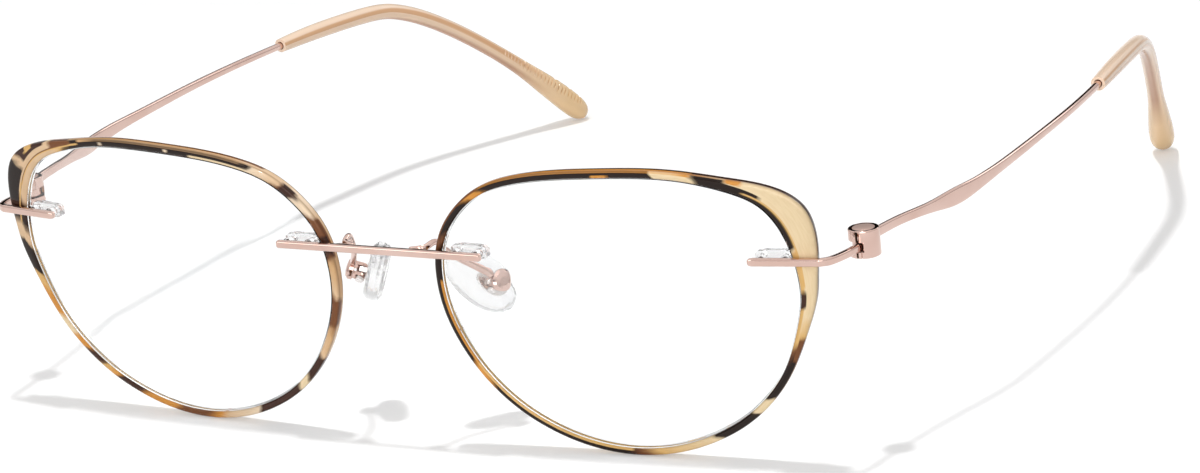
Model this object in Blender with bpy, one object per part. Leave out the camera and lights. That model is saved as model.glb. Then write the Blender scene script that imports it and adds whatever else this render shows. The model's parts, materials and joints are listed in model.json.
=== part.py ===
"""Cat eye glasses: thin acetate rims round clear lenses, carried by rose gold metal parts.

The front stands on the two rim bottoms and the temples stand on their tips.
+X is the wearer's left, the front faces -Y, +Z is up, and all lengths are metres.
"""
import math

import bmesh
import bpy
from mathutils import Matrix, Vector

# Lenses and rims
LENS_WIDTH = 0.0521
LENS_HEIGHT = 0.03955
LENS_THICKNESS = 0.0015
DISTANCE_BETWEEN_LENSES = 0.0179
INNER_EDGE_X = DISTANCE_BETWEEN_LENSES / 2.0
LENS_CENTRE_X = INNER_EDGE_X + LENS_WIDTH / 2.0
OUTER_EDGE_X = INNER_EDGE_X + LENS_WIDTH
LENS_FRONT_Y = 0.00159
BASE_CURVE_RADIUS = 0.185
WRAP_ANGLE = math.radians(4.1)
FACE_TILT = math.radians(6.0)
RIM_WIDTH = 0.0011
RIM_DEPTH = 0.0018
RIM_CHAMFER = 0.00022
GROOVE_DEPTH = 0.00048
GROOVE_MOUTH = 0.00096
BEVEL_BASE = 0.00076
CORNER_FLARE = 0.0033
SEAT_GAP = 0.00008

# Outline of the lens about its centre, as shares of half its width and half its height
OUTLINE_SHARES = (
    (0.980, 0.042), (0.998, 0.286), (0.965, 0.526), (0.884, 0.739), (0.735, 0.878),
    (0.392, 0.988), (-0.035, 0.992), (-0.443, 0.942), (-0.742, 0.805), (-0.961, 0.476),
    (-0.994, 0.038), (-0.881, -0.367), (-0.686, -0.678), (-0.440, -0.881), (-0.173, -0.985),
    (0.103, -0.990), (0.374, -0.896), (0.634, -0.703), (0.852, -0.386),
)
OUTLINE_STEPS = 3
# Degrees round the lens from the temple side, and the share of the flare that stands there
FLARE_SHARES = (
    (-20, 0.0), (-8, 0.06), (0, 0.19), (12, 0.43), (19, 0.73), (25, 0.96), (29, 1.0), (33, 0.83),
    (38, 0.51), (46, 0.17), (56, 0.02), (66, 0.0),
)
# Rings of the lens faces between the middle and the edge
LENS_RING_SHARES = (0.6,)

# Bars on the lens fronts, their pins and the double bushings behind the lenses
BAR_HEIGHT = 0.0011
BAR_DEPTH = 0.0010
BAR_SQUARENESS = 4.0
BRIDGE_RISE = 0.0078
ENDPIECE_RISE = 0.0087
PIN_RADIUS = 0.0004
PIN_SPACING = 0.0033
PIN_CLEARANCE = 0.00005
PLUG_RADIUS = 0.00062
PLUG_CLEARANCE = 0.00005
BUSHING_LENGTH = 0.0056
BUSHING_HEIGHT = 0.0020
BUSHING_THICKNESS = 0.0011
BUSHING_GAP = 0.00012
BRIDGE_PIN_INSET = 0.00415
BRIDGE_PIN_X = INNER_EDGE_X + BRIDGE_PIN_INSET
ENDPIECE_PIN_INSET = 0.0034
ENDPIECE_PIN_X = OUTER_EDGE_X - ENDPIECE_PIN_INSET
BAR_END_MARGIN = 0.0016
BRIDGE_END_MARGIN = 0.00125
BRIDGE_LENGTH = 2.0 * (BRIDGE_PIN_X + PIN_SPACING / 2.0 + BRIDGE_END_MARGIN)
BAR_LENS_ANGLE = math.radians(10.0)
DRILL_OVERRUN = 0.0010

# Hinges
HINGE_OUTSET = 0.00495
HINGE_X = OUTER_EDGE_X + HINGE_OUTSET
HINGE_Y = 0.0143
HINGE_DROP = 0.0004
EYE_RADIUS = 0.00165
EYE_HEIGHT = 0.0011
EYE_CLEARANCE = 0.00012
BARREL_RADIUS = 0.0021
BARREL_TOP_LUG = 0.0015
BARREL_BOTTOM_LUG = 0.0009
BARREL_CHAMFER = 0.00015
SLOT_MARGIN_ANGLE = math.radians(21.0)
TEMPLE_FOLD_ANGLE = math.radians(90.0)
SEAM_WIDTH = 0.00018
SEAM_DEPTH = 0.0006
SEAM_ANGLE = math.radians(283.0)
SCREW_RADIUS = 0.0007
SCREW_CLEARANCE = 0.00006
SCREW_HEAD_RADIUS = 0.0015
SCREW_HEAD_HEIGHT = 0.0005
SCREW_SLOT_WIDTH = 0.0003
SCREW_SLOT_DEPTH = 0.0003

# Temples
TEMPLE_LENGTH_TO_BEND = 0.0960
TEMPLE_RISE = 0.00035
TEMPLE_ARCH = 0.00045
TEMPLE_BOW = 0.0044
TEMPLE_ROOT_OFFSET = 0.00025
BEND_INSET = 0.0015
TIP_REACH = 0.0372
TIP_INSET = 0.0133
STRIP_THICKNESS = 0.0009
BLADE_THICKNESS = 0.0008
STRIP_HEIGHT = 0.00145
NECK_HEIGHT = 0.0014
SHOULDER_HEIGHT = 0.00165
BLADE_HEIGHT = 0.00265
BLADE_TAIL_HEIGHT = 0.0021
WAIST_HEIGHT = 0.0016
TAPER_HEIGHT = 0.0014
WIRE_START_HEIGHT = 0.00124
WIRE_RADIUS = 0.00056
WIRE_CLEARANCE = 0.00010
SLEEVE_START = 0.0722
PADDLE_HEIGHT = 0.0040
PADDLE_THICKNESS = 0.0042
PADDLE_SQUARENESS = 2.2
CORE_SHORT_OF_TIP = 0.0100

# Nose pads and what carries them
PAD_INSET = 0.00065
PAD_CENTRE_X = INNER_EDGE_X - PAD_INSET
PAD_CENTRE_Y = 0.01237
PAD_CENTRE_ABOVE_LENS_CENTRE = 0.0004
PAD_SPLAY = math.radians(7.0)
PAD_LEAN = math.radians(31.0)
PAD_PITCH = math.radians(32.0)
PAD_LENGTH = 0.0122
PAD_WIDTH = 0.0068
PAD_THICKNESS = 0.0026
PAD_HOLLOW = 0.0003
PAD_BELLY_SHARE = 0.08
LUG_DROP = 0.0014
INSERT_LENGTH = 0.0050
INSERT_WIDTH = 0.0028
INSERT_THICKNESS = 0.0006
INSERT_CLEARANCE = 0.00010
LUG_RADIUS = 0.00072
LUG_THICKNESS = 0.0008
PAD_SCREW_STAND_OFF = 0.00085
PAD_SCREW_RADIUS = 0.00040
PAD_SCREW_CLEARANCE = 0.00010
PAD_SCREW_HEAD_RADIUS = 0.00070
PAD_SCREW_HEAD_LENGTH = 0.0004
EAR_THICKNESS = 0.0005
EAR_RADIUS = 0.00070
EAR_GAP_EACH_SIDE = 0.00015
STIRRUP_BASE_RADIUS = 0.0015
STIRRUP_BASE_THICKNESS = 0.0006
STIRRUP_DOME = 0.0005
STIRRUP_FLOOR_GAP = 0.00035
ARM_WIDTH = 0.0010
ARM_HEIGHT = 0.0009
ARM_SQUARENESS = 2.4
ARM_ROOT_INSET = 0.00465
ARM_ROOT_X = INNER_EDGE_X - ARM_ROOT_INSET
ARM_TURN_INSET = 0.00205
ARM_TURN_X = INNER_EDGE_X - ARM_TURN_INSET
ARM_TURN_REACH = 0.0037
ARM_TURN_RISE = 0.0003
ARM_BOW = 0.0007
ARM_BACK_INSET = 0.0006
ARM_BACK_X = INNER_EDGE_X - ARM_BACK_INSET
ARM_BACK_REACH = 0.0066
ARM_DROP = 0.0025

TEMPLE_STEPS = 3
ROUND_STEPS = 20
SMALL_ROUND_STEPS = 12
SECTION_STEPS = 10
ARM_SECTION_STEPS = 8
PIN_STEPS = 8
ARM_STEPS = 4


def clear_scene():
    """Remove whatever the file holds."""
    for thing in list(bpy.data.objects):
        bpy.data.objects.remove(thing, do_unlink=True)


def make_material(name, colour, roughness, metallic, transmission=0.0):
    """A Principled material in one plain finish."""
    material = bpy.data.materials.new(name)
    material.use_nodes = True
    shader = material.node_tree.nodes["Principled BSDF"]
    shader.inputs["Base Color"].default_value = (*colour, 1.0)
    shader.inputs["Roughness"].default_value = roughness
    shader.inputs["Metallic"].default_value = metallic
    shader.inputs["Transmission Weight"].default_value = transmission
    material.diffuse_color = (*colour, 1.0)
    return material


def side_name(side, name):
    """Left is the wearer's left, at +X."""
    return ("left_" if side > 0 else "right_") + name


def cubic(before, start, end, after, share):
    """A smooth value between start and end that keeps the run of its neighbours."""
    rise = (end - before) * 0.5
    fall = (after - start) * 0.5
    second = share * share
    third = second * share
    return (start * (2.0 * third - 3.0 * second + 1.0) + rise * (third - 2.0 * second + share)
            + end * (3.0 * second - 2.0 * third) + fall * (third - second))


def closed_curve(knots, steps):
    """A smooth closed line through the knots."""
    count = len(knots)
    line = []
    for index in range(count):
        near = [knots[(index + offset) % count] for offset in (-1, 0, 1, 2)]
        line += [cubic(*near, step / steps) for step in range(steps)]
    return line


def open_curve(knots, steps):
    """A smooth open line through the knots."""
    ends = [knots[0] * 2.0 - knots[1]] + list(knots) + [knots[-1] * 2.0 - knots[-2]]
    line = []
    for index in range(1, len(knots)):
        near = ends[index - 1:index + 3]
        line += [cubic(*near, step / steps) for step in range(steps)]
    line.append(knots[-1].copy())
    return line


def table_value(table, place):
    """Read a smooth curve through (place, value) pairs, level beyond both ends."""
    if place <= table[0][0]:
        return table[0][1]
    if place >= table[-1][0]:
        return table[-1][1]
    index = max(i for i, pair in enumerate(table) if pair[0] <= place)
    low = table[index]
    high = table[index + 1]
    before = table[max(index - 1, 0)][1]
    after = table[min(index + 2, len(table) - 1)][1]
    return cubic(before, low[1], high[1], after, (place - low[0]) / (high[0] - low[0]))


def superellipse(width, height, squareness, count=SECTION_STEPS):
    """Section points: an ellipse at squareness 2, a rounded rectangle above it."""
    points = []
    for step in range(count):
        angle = math.tau * (step + 0.5) / count
        across = math.copysign(abs(math.cos(angle)) ** (2.0 / squareness), math.cos(angle))
        up = math.copysign(abs(math.sin(angle)) ** (2.0 / squareness), math.sin(angle))
        points.append((across * width / 2.0, up * height / 2.0))
    return points


def sweep(path, sections, up):
    """Stand one section on each point of a path, square to it."""
    rings = []
    for index, point in enumerate(path):
        ahead = path[min(index + 1, len(path) - 1)]
        behind = path[max(index - 1, 0)]
        along = (ahead - behind).normalized()
        across = along.cross(up).normalized()
        rise = across.cross(along)
        rings.append([point + across * a + rise * b for a, b in sections[index]])
    return rings


def loft(rings, closed=False):
    """Skin a row of rings; an open row is capped at both ends."""
    bm = bmesh.new()
    rows = [[bm.verts.new(point) for point in ring] for ring in rings]
    pairs = list(zip(rows, rows[1:]))
    if closed:
        pairs.append((rows[-1], rows[0]))
    for row, following in pairs:
        for index in range(len(row)):
            after = (index + 1) % len(row)
            bm.faces.new((row[index], row[after], following[after], following[index]))
    if not closed:
        bm.faces.new(rows[0])
        bm.faces.new(rows[-1])
    return bm


def add_cylinder(bm, start, end, radius, steps=SMALL_ROUND_STEPS, end_radius=None):
    """A capped cylinder or cone between two points."""
    axis = end - start
    turn = axis.to_track_quat("Z", "Y").to_matrix().to_4x4()
    place = Matrix.Translation((start + end) / 2.0) @ turn
    bmesh.ops.create_cone(bm, cap_ends=True, segments=steps, radius1=radius,
                          radius2=radius if end_radius is None else end_radius,
                          depth=axis.length, matrix=place)
    return bm


def cylinder(start, end, radius, steps=SMALL_ROUND_STEPS, end_radius=None):
    """A new capped cylinder or cone."""
    return add_cylinder(bmesh.new(), start, end, radius, steps, end_radius)


def block(frame, size):
    """A box of the given size in a frame."""
    bm = bmesh.new()
    stretch = Matrix.Diagonal((*size, 1.0))
    bmesh.ops.create_cube(bm, size=1.0, matrix=frame @ stretch)
    return bm


def make_object(name, bm, side, material=None, pivot=None, smooth=None):
    """Turn a mesh drawn for the left side into an object on its own side."""
    if side < 0:
        bmesh.ops.scale(bm, vec=(-1.0, 1.0, 1.0), verts=bm.verts)
    if pivot is not None:
        home = Vector((side * pivot.x, pivot.y, pivot.z))
        bmesh.ops.translate(bm, vec=-home, verts=bm.verts)
    bmesh.ops.recalc_face_normals(bm, faces=bm.faces)
    mesh = bpy.data.meshes.new(name)
    bm.to_mesh(mesh)
    bm.free()
    if smooth is not None:
        mesh.shade_smooth()
        mesh.set_sharp_from_angle(angle=smooth)
    thing = bpy.data.objects.new(name, mesh)
    bpy.context.scene.collection.objects.link(thing)
    if pivot is not None:
        thing.location = home
    if material is not None:
        mesh.materials.append(material)
    return thing


def apply_tool(target, bm, side, operation="DIFFERENCE"):
    """Cut a hidden tool shape from a piece, or join it on."""
    tool = make_object(target.name + "_tool_" + str(len(target.modifiers)), bm, side)
    tool.hide_render = True
    tool.display_type = "WIRE"
    change = target.modifiers.new(tool.name, "BOOLEAN")
    change.operation = operation
    change.solver = "EXACT"
    change.object = tool
    return tool


ROUND = math.radians(35.0)
UP = Vector((0.0, 0.0, 1.0))


# The lens and rim, in a frame whose u runs to the temple, v up and w back from the rim front


def lens_outline():
    """Points of the lens edge, each with its outward normal and its radial direction."""
    half = (LENS_WIDTH / 2.0, LENS_HEIGHT / 2.0)
    knots = [Vector((u * half[0], v * half[1])) for u, v in OUTLINE_SHARES]
    line = closed_curve(knots, OUTLINE_STEPS)
    outline = []
    for index, point in enumerate(line):
        along = line[(index + 1) % len(line)] - line[index - 1]
        outline.append((point, Vector((along.y, -along.x)).normalized(), point.normalized()))
    return outline


def lens_offset(u, v, w):
    """Place, from the lens centre, of a point at u, v on the sphere that lies w behind the front."""
    radius = BASE_CURVE_RADIUS - w
    flat = math.sqrt(BASE_CURVE_RADIUS ** 2 - u ** 2 - v ** 2)
    across = u / BASE_CURVE_RADIUS * radius
    rise = v / BASE_CURVE_RADIUS * radius
    depth = BASE_CURVE_RADIUS - flat / BASE_CURVE_RADIUS * radius
    out = across * math.cos(WRAP_ANGLE) - depth * math.sin(WRAP_ANGLE)
    back = across * math.sin(WRAP_ANGLE) + depth * math.cos(WRAP_ANGLE)
    return Vector((out, back * math.cos(FACE_TILT) - rise * math.sin(FACE_TILT),
                   rise * math.cos(FACE_TILT) + back * math.sin(FACE_TILT)))


def lens_centre():
    """Front middle of the left lens, at the height that stands its rim on the table."""
    lowest = 0.0
    for point, normal, _ in lens_outline():
        for out, w in ((RIM_WIDTH, RIM_CHAMFER), (RIM_WIDTH - RIM_CHAMFER, 0.0)):
            place = point + normal * out
            lowest = min(lowest, lens_offset(place.x, place.y, w).z)
    return Vector((LENS_CENTRE_X, LENS_FRONT_Y, -lowest))


LENS_CENTRE = lens_centre()


def lens_point(u, v, w):
    """World place of a point of the left lens."""
    return LENS_CENTRE + lens_offset(u, v, w)


def lens_front_y(x, z):
    """Depth of the lens front at a world x and z."""
    front = (RIM_DEPTH - LENS_THICKNESS) / 2.0
    u = x - LENS_CENTRE_X
    v = z - LENS_CENTRE.z
    for _ in range(4):
        place = lens_point(u, v, front)
        u += x - place.x
        v += z - place.z
    return place.y


def flare(radial):
    """How far the rim stands out beyond its plain width in a direction from the lens centre."""
    return CORNER_FLARE * table_value(FLARE_SHARES, math.degrees(math.atan2(radial.y, radial.x)))


def make_rim(side, material):
    """A thin acetate rim with a V groove inside and a flared upper outer corner."""
    middle = RIM_DEPTH / 2.0
    mouth = GROOVE_MOUTH / 2.0
    rings = []
    for point, normal, radial in lens_outline():
        reach = flare(radial)
        section = (
            (0.0, RIM_CHAMFER, 0.0), (RIM_CHAMFER, 0.0, 0.0),
            (RIM_WIDTH - RIM_CHAMFER, 0.0, reach), (RIM_WIDTH, RIM_CHAMFER, reach),
            (RIM_WIDTH, RIM_DEPTH - RIM_CHAMFER, reach), (RIM_WIDTH - RIM_CHAMFER, RIM_DEPTH, reach),
            (RIM_CHAMFER, RIM_DEPTH, 0.0), (0.0, RIM_DEPTH - RIM_CHAMFER, 0.0),
            (0.0, middle + mouth, 0.0), (GROOVE_DEPTH, middle, 0.0), (0.0, middle - mouth, 0.0),
        )
        ring = []
        for out, w, extra in section:
            place = point + normal * out + radial * extra
            ring.append(lens_point(place.x, place.y, w))
        rings.append(ring)
    return make_object(side_name(side, "rim"), loft(rings, closed=True), side, material,
                       smooth=ROUND)


def make_lens(side, material):
    """A curved clear lens with a bevelled edge, drilled for both pairs of plugs."""
    middle = RIM_DEPTH / 2.0
    front = middle - LENS_THICKNESS / 2.0
    back = middle + LENS_THICKNESS / 2.0
    bevel = GROOVE_DEPTH - SEAT_GAP
    outline = lens_outline()
    rings = [[lens_point(p.x * share, p.y * share, front) for p, _, _ in outline]
             for share in LENS_RING_SHARES]
    for out, w in ((-SEAT_GAP, front), (-SEAT_GAP, middle - BEVEL_BASE / 2.0), (bevel, middle),
                   (-SEAT_GAP, middle + BEVEL_BASE / 2.0), (-SEAT_GAP, back)):
        places = [p + n * out for p, n, _ in outline]
        rings.append([lens_point(place.x, place.y, w) for place in places])
    rings += [[lens_point(p.x * share, p.y * share, back) for p, _, _ in outline]
              for share in reversed(LENS_RING_SHARES)]
    bm = loft(rings)
    caps = [face for face in bm.faces if len(face.verts) > 4]
    for face, w in zip(caps, (front, back)):
        poked = bmesh.ops.poke(bm, faces=[face])["verts"][0]
        poked.co = lens_point(0.0, 0.0, w)
    lens = make_object(side_name(side, "lens"), bm, side, material, smooth=ROUND)
    holes = bmesh.new()
    for frame in (bridge_frame(), endpiece_frame()):
        for place in pin_places(frame):
            ahead = frame.col[1].to_3d() * (LENS_THICKNESS + DRILL_OVERRUN + BAR_DEPTH)
            behind = frame.col[1].to_3d() * DRILL_OVERRUN
            add_cylinder(holes, place - behind, place + ahead, PLUG_RADIUS + PLUG_CLEARANCE)
    apply_tool(lens, holes, side)
    return lens


# The bars: frames whose x runs along the bar, y back along the pins and z up


# Places along half a bar, and on a bushing's length, at which its fit to the lens is measured
BAR_REACH_SHARES = (-1.0, -0.75, -0.5, -0.25, 0.0, 0.25, 0.5, 0.75, 1.0)
BUSHING_REACH_SHARES = (-0.5, 0.0, 0.5)
# Places through a bushing's thickness from its middle, and the size of its outline there
BUSHING_SHARES = ((-0.5, 0.94), (-0.4, 1.0), (0.35, 1.0), (0.5, 0.9))
# Size of the first two sections and the last two of a bar
END_SHARES = (0.45, 0.85)
# Places of the bridge's sections from each end, as shares of the bar's depth
BRIDGE_END_SHARES = (0.0, 0.15, 0.5)
# Places of the endpiece's sections on its straight run, then on its bend across, back and down
RUN_SHARES = (0.0, 0.02, 0.07, 0.5, 1.0)
BEND_SHARES = (
    (0.50, 0.09, 0.05), (0.76, 0.27, 0.25), (0.90, 0.55, 0.65), (1.0, 0.85, 1.0), (1.0, 1.0, 1.0),
)


def bar_frame(x, z, angle):
    """Frame midway between two pins, on the back of a bar that rests on the lens front."""
    along = Vector((math.cos(angle), math.sin(angle), 0.0))
    back = Vector((-math.sin(angle), math.cos(angle), 0.0))
    reach = PIN_SPACING / 2.0 + BAR_END_MARGIN
    slack = []
    for share in BAR_REACH_SHARES:
        offset = along * (reach * share)
        for edge in (-BAR_HEIGHT / 2.0, BAR_HEIGHT / 2.0):
            slack.append(lens_front_y(x + offset.x, z + edge) - offset.y)
    origin = Vector((x, min(slack) - SEAT_GAP, z))
    frame = Matrix((along, back, UP)).transposed().to_4x4()
    frame.translation = origin
    return frame


def bridge_frame():
    """Frame of the bridge pins on the left lens."""
    return bar_frame(BRIDGE_PIN_X, LENS_CENTRE.z + BRIDGE_RISE, 0.0)


def endpiece_frame():
    """Frame of the endpiece pins on the left lens."""
    return bar_frame(ENDPIECE_PIN_X, LENS_CENTRE.z + ENDPIECE_RISE, BAR_LENS_ANGLE)


def pin_places(frame):
    """The two points on the back of a bar where its pins stand."""
    return [frame @ Vector((sign * PIN_SPACING / 2.0, 0.0, 0.0)) for sign in (-1.0, 1.0)]


def bushing_face(frame):
    """How far behind the bar the bushing plate starts, clear of the curved lens back."""
    along = frame.col[0].to_3d()
    deepest = 0.0
    for share in BUSHING_REACH_SHARES:
        for edge in (-BUSHING_HEIGHT / 2.0, BUSHING_HEIGHT / 2.0):
            place = frame.translation + along * (share * BUSHING_LENGTH)
            height = frame.translation.z + edge
            front = lens_front_y(place.x, height)
            deepest = max(deepest, front + LENS_THICKNESS / math.cos(BAR_LENS_ANGLE) - place.y)
    return deepest + BUSHING_GAP


def add_pins(target, frame, side):
    """Solder two pins on the back of a bar, long enough to fill their bushing."""
    pins = bmesh.new()
    back = frame.col[1].to_3d()
    length = bushing_face(frame) + BUSHING_THICKNESS - PIN_CLEARANCE
    for place in pin_places(frame):
        add_cylinder(pins, place - back * (BAR_DEPTH / 2.0), place + back * length, PIN_RADIUS,
                     PIN_STEPS)
    apply_tool(target, pins, side, "UNION")


def make_bushing(side, name, frame, material):
    """A clear plate behind the lens with two plugs that line the lens holes."""
    start = bushing_face(frame)
    place = frame @ Matrix.Translation((0.0, start + BUSHING_THICKNESS / 2.0, 0.0))
    section = superellipse(BUSHING_LENGTH, BUSHING_HEIGHT, BAR_SQUARENESS, SMALL_ROUND_STEPS)
    rings = []
    for share, size in BUSHING_SHARES:
        depth = share * BUSHING_THICKNESS
        rings.append([place @ Vector((a * size, depth, b * size)) for a, b in section])
    bushing = make_object(side_name(side, name), loft(rings), side, material, smooth=ROUND)
    back = frame.col[1].to_3d()
    plugs = bmesh.new()
    bores = bmesh.new()
    for pin in pin_places(frame):
        centre = pin + back * start
        add_cylinder(plugs, pin + back * (SEAT_GAP * 2.0 + BAR_DEPTH / 4.0),
                     centre + back * (BUSHING_THICKNESS / 2.0), PLUG_RADIUS)
        add_cylinder(bores, pin - back * BAR_DEPTH,
                     centre + back * (BUSHING_THICKNESS + DRILL_OVERRUN),
                     PIN_RADIUS + PIN_CLEARANCE)
    apply_tool(bushing, plugs, side, "UNION")
    apply_tool(bushing, bores, side)
    return bushing


def round_ends(sections):
    """Shrink the first and last sections so that a bar ends rounded."""
    result = [list(section) for section in sections]
    for index, share in enumerate(END_SHARES):
        for ring in (index, -1 - index):
            result[ring] = [(a * share, b * share) for a, b in result[ring]]
    return result


def make_bridge(material):
    """The straight front bar with two pins on each lens."""
    frame = bridge_frame()
    y = frame.translation.y - BAR_DEPTH / 2.0
    z = frame.translation.z
    half = BRIDGE_LENGTH / 2.0
    steps = [half - BAR_DEPTH * share for share in BRIDGE_END_SHARES]
    path = [Vector((x, y, z)) for x in sorted([-step for step in steps] + [0.0] + steps)]
    section = superellipse(BAR_DEPTH, BAR_HEIGHT, BAR_SQUARENESS)
    rings = sweep(path, round_ends([section] * len(path)), UP)
    bridge = make_object("bridge_bar", loft(rings), 1, material, smooth=ROUND)
    for side in (1, -1):
        add_pins(bridge, frame, side)
    return bridge


SLOT_HEIGHT = EYE_HEIGHT + 2.0 * EYE_CLEARANCE
EYE_Z = LENS_CENTRE.z + ENDPIECE_RISE - HINGE_DROP
HINGE = Vector((HINGE_X, HINGE_Y, EYE_Z))


def make_endpiece(side, material):
    """Bar on the lens front, bent back round the rim and flattened into the hinge eye."""
    frame = endpiece_frame()
    along = frame.col[0].to_3d()
    start = frame @ Vector((-PIN_SPACING / 2.0 - BAR_END_MARGIN, -BAR_DEPTH / 2.0, 0.0))
    rim_edge = lens_point(LENS_WIDTH / 2.0 + RIM_WIDTH + CORNER_FLARE, ENDPIECE_RISE, 0.0).x
    run = (rim_edge - BAR_DEPTH - start.x) / along.x
    straight = [start + along * (run * share) for share in RUN_SHARES]
    last = straight[-1]
    drop = HINGE.z - last.z
    deep = HINGE.y - EYE_RADIUS / 2.0 - last.y
    wide = HINGE.x - last.x
    bend = [last + Vector((wide * x, deep * y, drop * z)) for x, y, z in BEND_SHARES]
    path = straight[:-1] + open_curve([last] + bend, 3)
    section = superellipse(BAR_DEPTH, BAR_HEIGHT, BAR_SQUARENESS)
    sections = round_ends([section] * len(path))
    sections[-1] = section
    sections[-2] = section
    endpiece = make_object(side_name(side, "endpiece"), loft(sweep(path, sections, UP)), side,
                           material, smooth=ROUND)
    eye = cylinder(HINGE - UP * (EYE_HEIGHT / 2.0), HINGE + UP * (EYE_HEIGHT / 2.0), EYE_RADIUS,
                   ROUND_STEPS)
    apply_tool(endpiece, eye, side, "UNION")
    hole = cylinder(HINGE - UP * EYE_HEIGHT, HINGE + UP * EYE_HEIGHT,
                    SCREW_RADIUS + EYE_CLEARANCE, ROUND_STEPS)
    apply_tool(endpiece, hole, side)
    add_pins(endpiece, frame, side)
    return endpiece


# The hinge: the barrel turns with the temple round the eye of the endpiece

OPENING_REACH_SHARE = 1.5
BARREL_TOP = HINGE + UP * (SLOT_HEIGHT / 2.0 + BARREL_TOP_LUG)
BARREL_BOTTOM = HINGE - UP * (SLOT_HEIGHT / 2.0 + BARREL_BOTTOM_LUG)


def slot_opening():
    """Fan-shaped tool that opens the slot where the endpiece sweeps as the temple folds."""
    reach = BARREL_RADIUS * OPENING_REACH_SHARE
    first = math.radians(270.0) + SLOT_MARGIN_ANGLE
    last = math.radians(270.0) - TEMPLE_FOLD_ANGLE - SLOT_MARGIN_ANGLE
    steps = ROUND_STEPS // 2
    corners = [HINGE.copy()]
    for step in range(steps + 1):
        angle = first + (last - first) * step / steps
        corners.append(HINGE + Vector((math.cos(angle), math.sin(angle), 0.0)) * reach)
    half = UP * (SLOT_HEIGHT / 2.0)
    return loft([[corner - half for corner in corners], [corner + half for corner in corners]])


def make_barrel(side, material):
    """A round barrel with a slot for the eye, a bore and a counterbore for the screw."""
    chamfer = UP * BARREL_CHAMFER
    rings = []
    for place, radius in ((BARREL_BOTTOM, BARREL_RADIUS - BARREL_CHAMFER),
                          (BARREL_BOTTOM + chamfer, BARREL_RADIUS),
                          (BARREL_TOP - chamfer, BARREL_RADIUS),
                          (BARREL_TOP, BARREL_RADIUS - BARREL_CHAMFER)):
        rings.append(circle(place, radius))
    name = side_name(side, "hinge_barrel")
    barrel = make_object(name, loft(rings), side, material, HINGE, ROUND)
    half = UP * (SLOT_HEIGHT / 2.0)
    overrun = UP * BARREL_CHAMFER
    seat = UP * (SCREW_HEAD_HEIGHT + SCREW_CLEARANCE)
    head = SCREW_HEAD_RADIUS + SCREW_CLEARANCE
    room = cylinder(HINGE - half, HINGE + half, EYE_RADIUS + EYE_CLEARANCE, ROUND_STEPS)
    bore = cylinder(BARREL_BOTTOM - overrun, BARREL_TOP + overrun, SCREW_RADIUS + SCREW_CLEARANCE)
    counterbore = cylinder(BARREL_TOP - seat, BARREL_TOP + overrun, head, ROUND_STEPS)
    for tool in (room, slot_opening(), bore, counterbore, barrel_seam()):
        apply_tool(barrel, tool, side)
    return barrel


def barrel_seam():
    """Thin upright tool for the seam of the lower lug."""
    outward = Vector((math.cos(SEAM_ANGLE), math.sin(SEAM_ANGLE), 0.0))
    middle = HINGE + outward * BARREL_RADIUS - UP * ((BARREL_BOTTOM_LUG + SLOT_HEIGHT) / 2.0)
    place = Matrix.Translation(middle) @ Matrix.Rotation(SEAM_ANGLE, 4, "Z")
    return block(place, (SEAM_DEPTH, SEAM_WIDTH, BARREL_BOTTOM_LUG * 2.0))


def circle(centre, radius, steps=ROUND_STEPS):
    """Points of a level circle."""
    ring = []
    for step in range(steps):
        angle = math.tau * step / steps
        ring.append(centre + Vector((math.cos(angle), math.sin(angle), 0.0)) * radius)
    return ring


def make_hinge_screw(side, material):
    """A screw with a plain flush head on top and its driver slot below."""
    neck = BARREL_TOP - UP * SCREW_HEAD_HEIGHT
    rings = [circle(BARREL_BOTTOM, SCREW_RADIUS, SMALL_ROUND_STEPS),
             circle(neck, SCREW_RADIUS, SMALL_ROUND_STEPS),
             circle(neck, SCREW_HEAD_RADIUS, SMALL_ROUND_STEPS),
             circle(BARREL_TOP - UP * SCREW_CLEARANCE, SCREW_HEAD_RADIUS, SMALL_ROUND_STEPS),
             circle(BARREL_TOP, SCREW_HEAD_RADIUS - SCREW_CLEARANCE, SMALL_ROUND_STEPS)]
    screw = make_object(side_name(side, "hinge_screw"), loft(rings), side, material, HINGE, ROUND)
    slot = block(Matrix.Translation(BARREL_BOTTOM),
                 (SCREW_HEAD_RADIUS * 2.0, SCREW_SLOT_WIDTH, SCREW_SLOT_DEPTH * 2.0))
    apply_tool(screw, slot, side)
    return screw


# Temples: one path carries the flat strip, the blade, the round wire and the tip

TEMPLE_Z = HINGE.z + TEMPLE_RISE
BEND_Y = HINGE_Y + TEMPLE_LENGTH_TO_BEND
TIP_REST_SHARE = 0.15
TIP_REST = PADDLE_HEIGHT * TIP_REST_SHARE
# Shares of the length to the bend, of the outward bow and of the upward arch of the straight run
STRAIGHT_SHARES = (
    (0.0, 0.0, 0.87), (0.08, 0.25, 0.9), (0.16, 0.57, -0.1), (0.225, 0.85, -0.4), (0.29, 1.0, 0.1),
    (0.40, 1.0, 0.38), (0.51, 0.95, 0.65), (0.62, 0.83, 0.63), (0.73, 0.60, 0.5), (0.84, 0.265, 0.3),
)
# Shares of the reach behind the bend, of the inset beyond the bend and of the drop
DROP_SHARES = (
    (-0.06, -0.032, 0.022), (0.10, 0.081, 0.075), (0.26, 0.224, 0.180), (0.44, 0.41, 0.340),
    (0.64, 0.621, 0.550), (0.84, 0.832, 0.790), (1.0, 1.0, 1.0),
)
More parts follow.
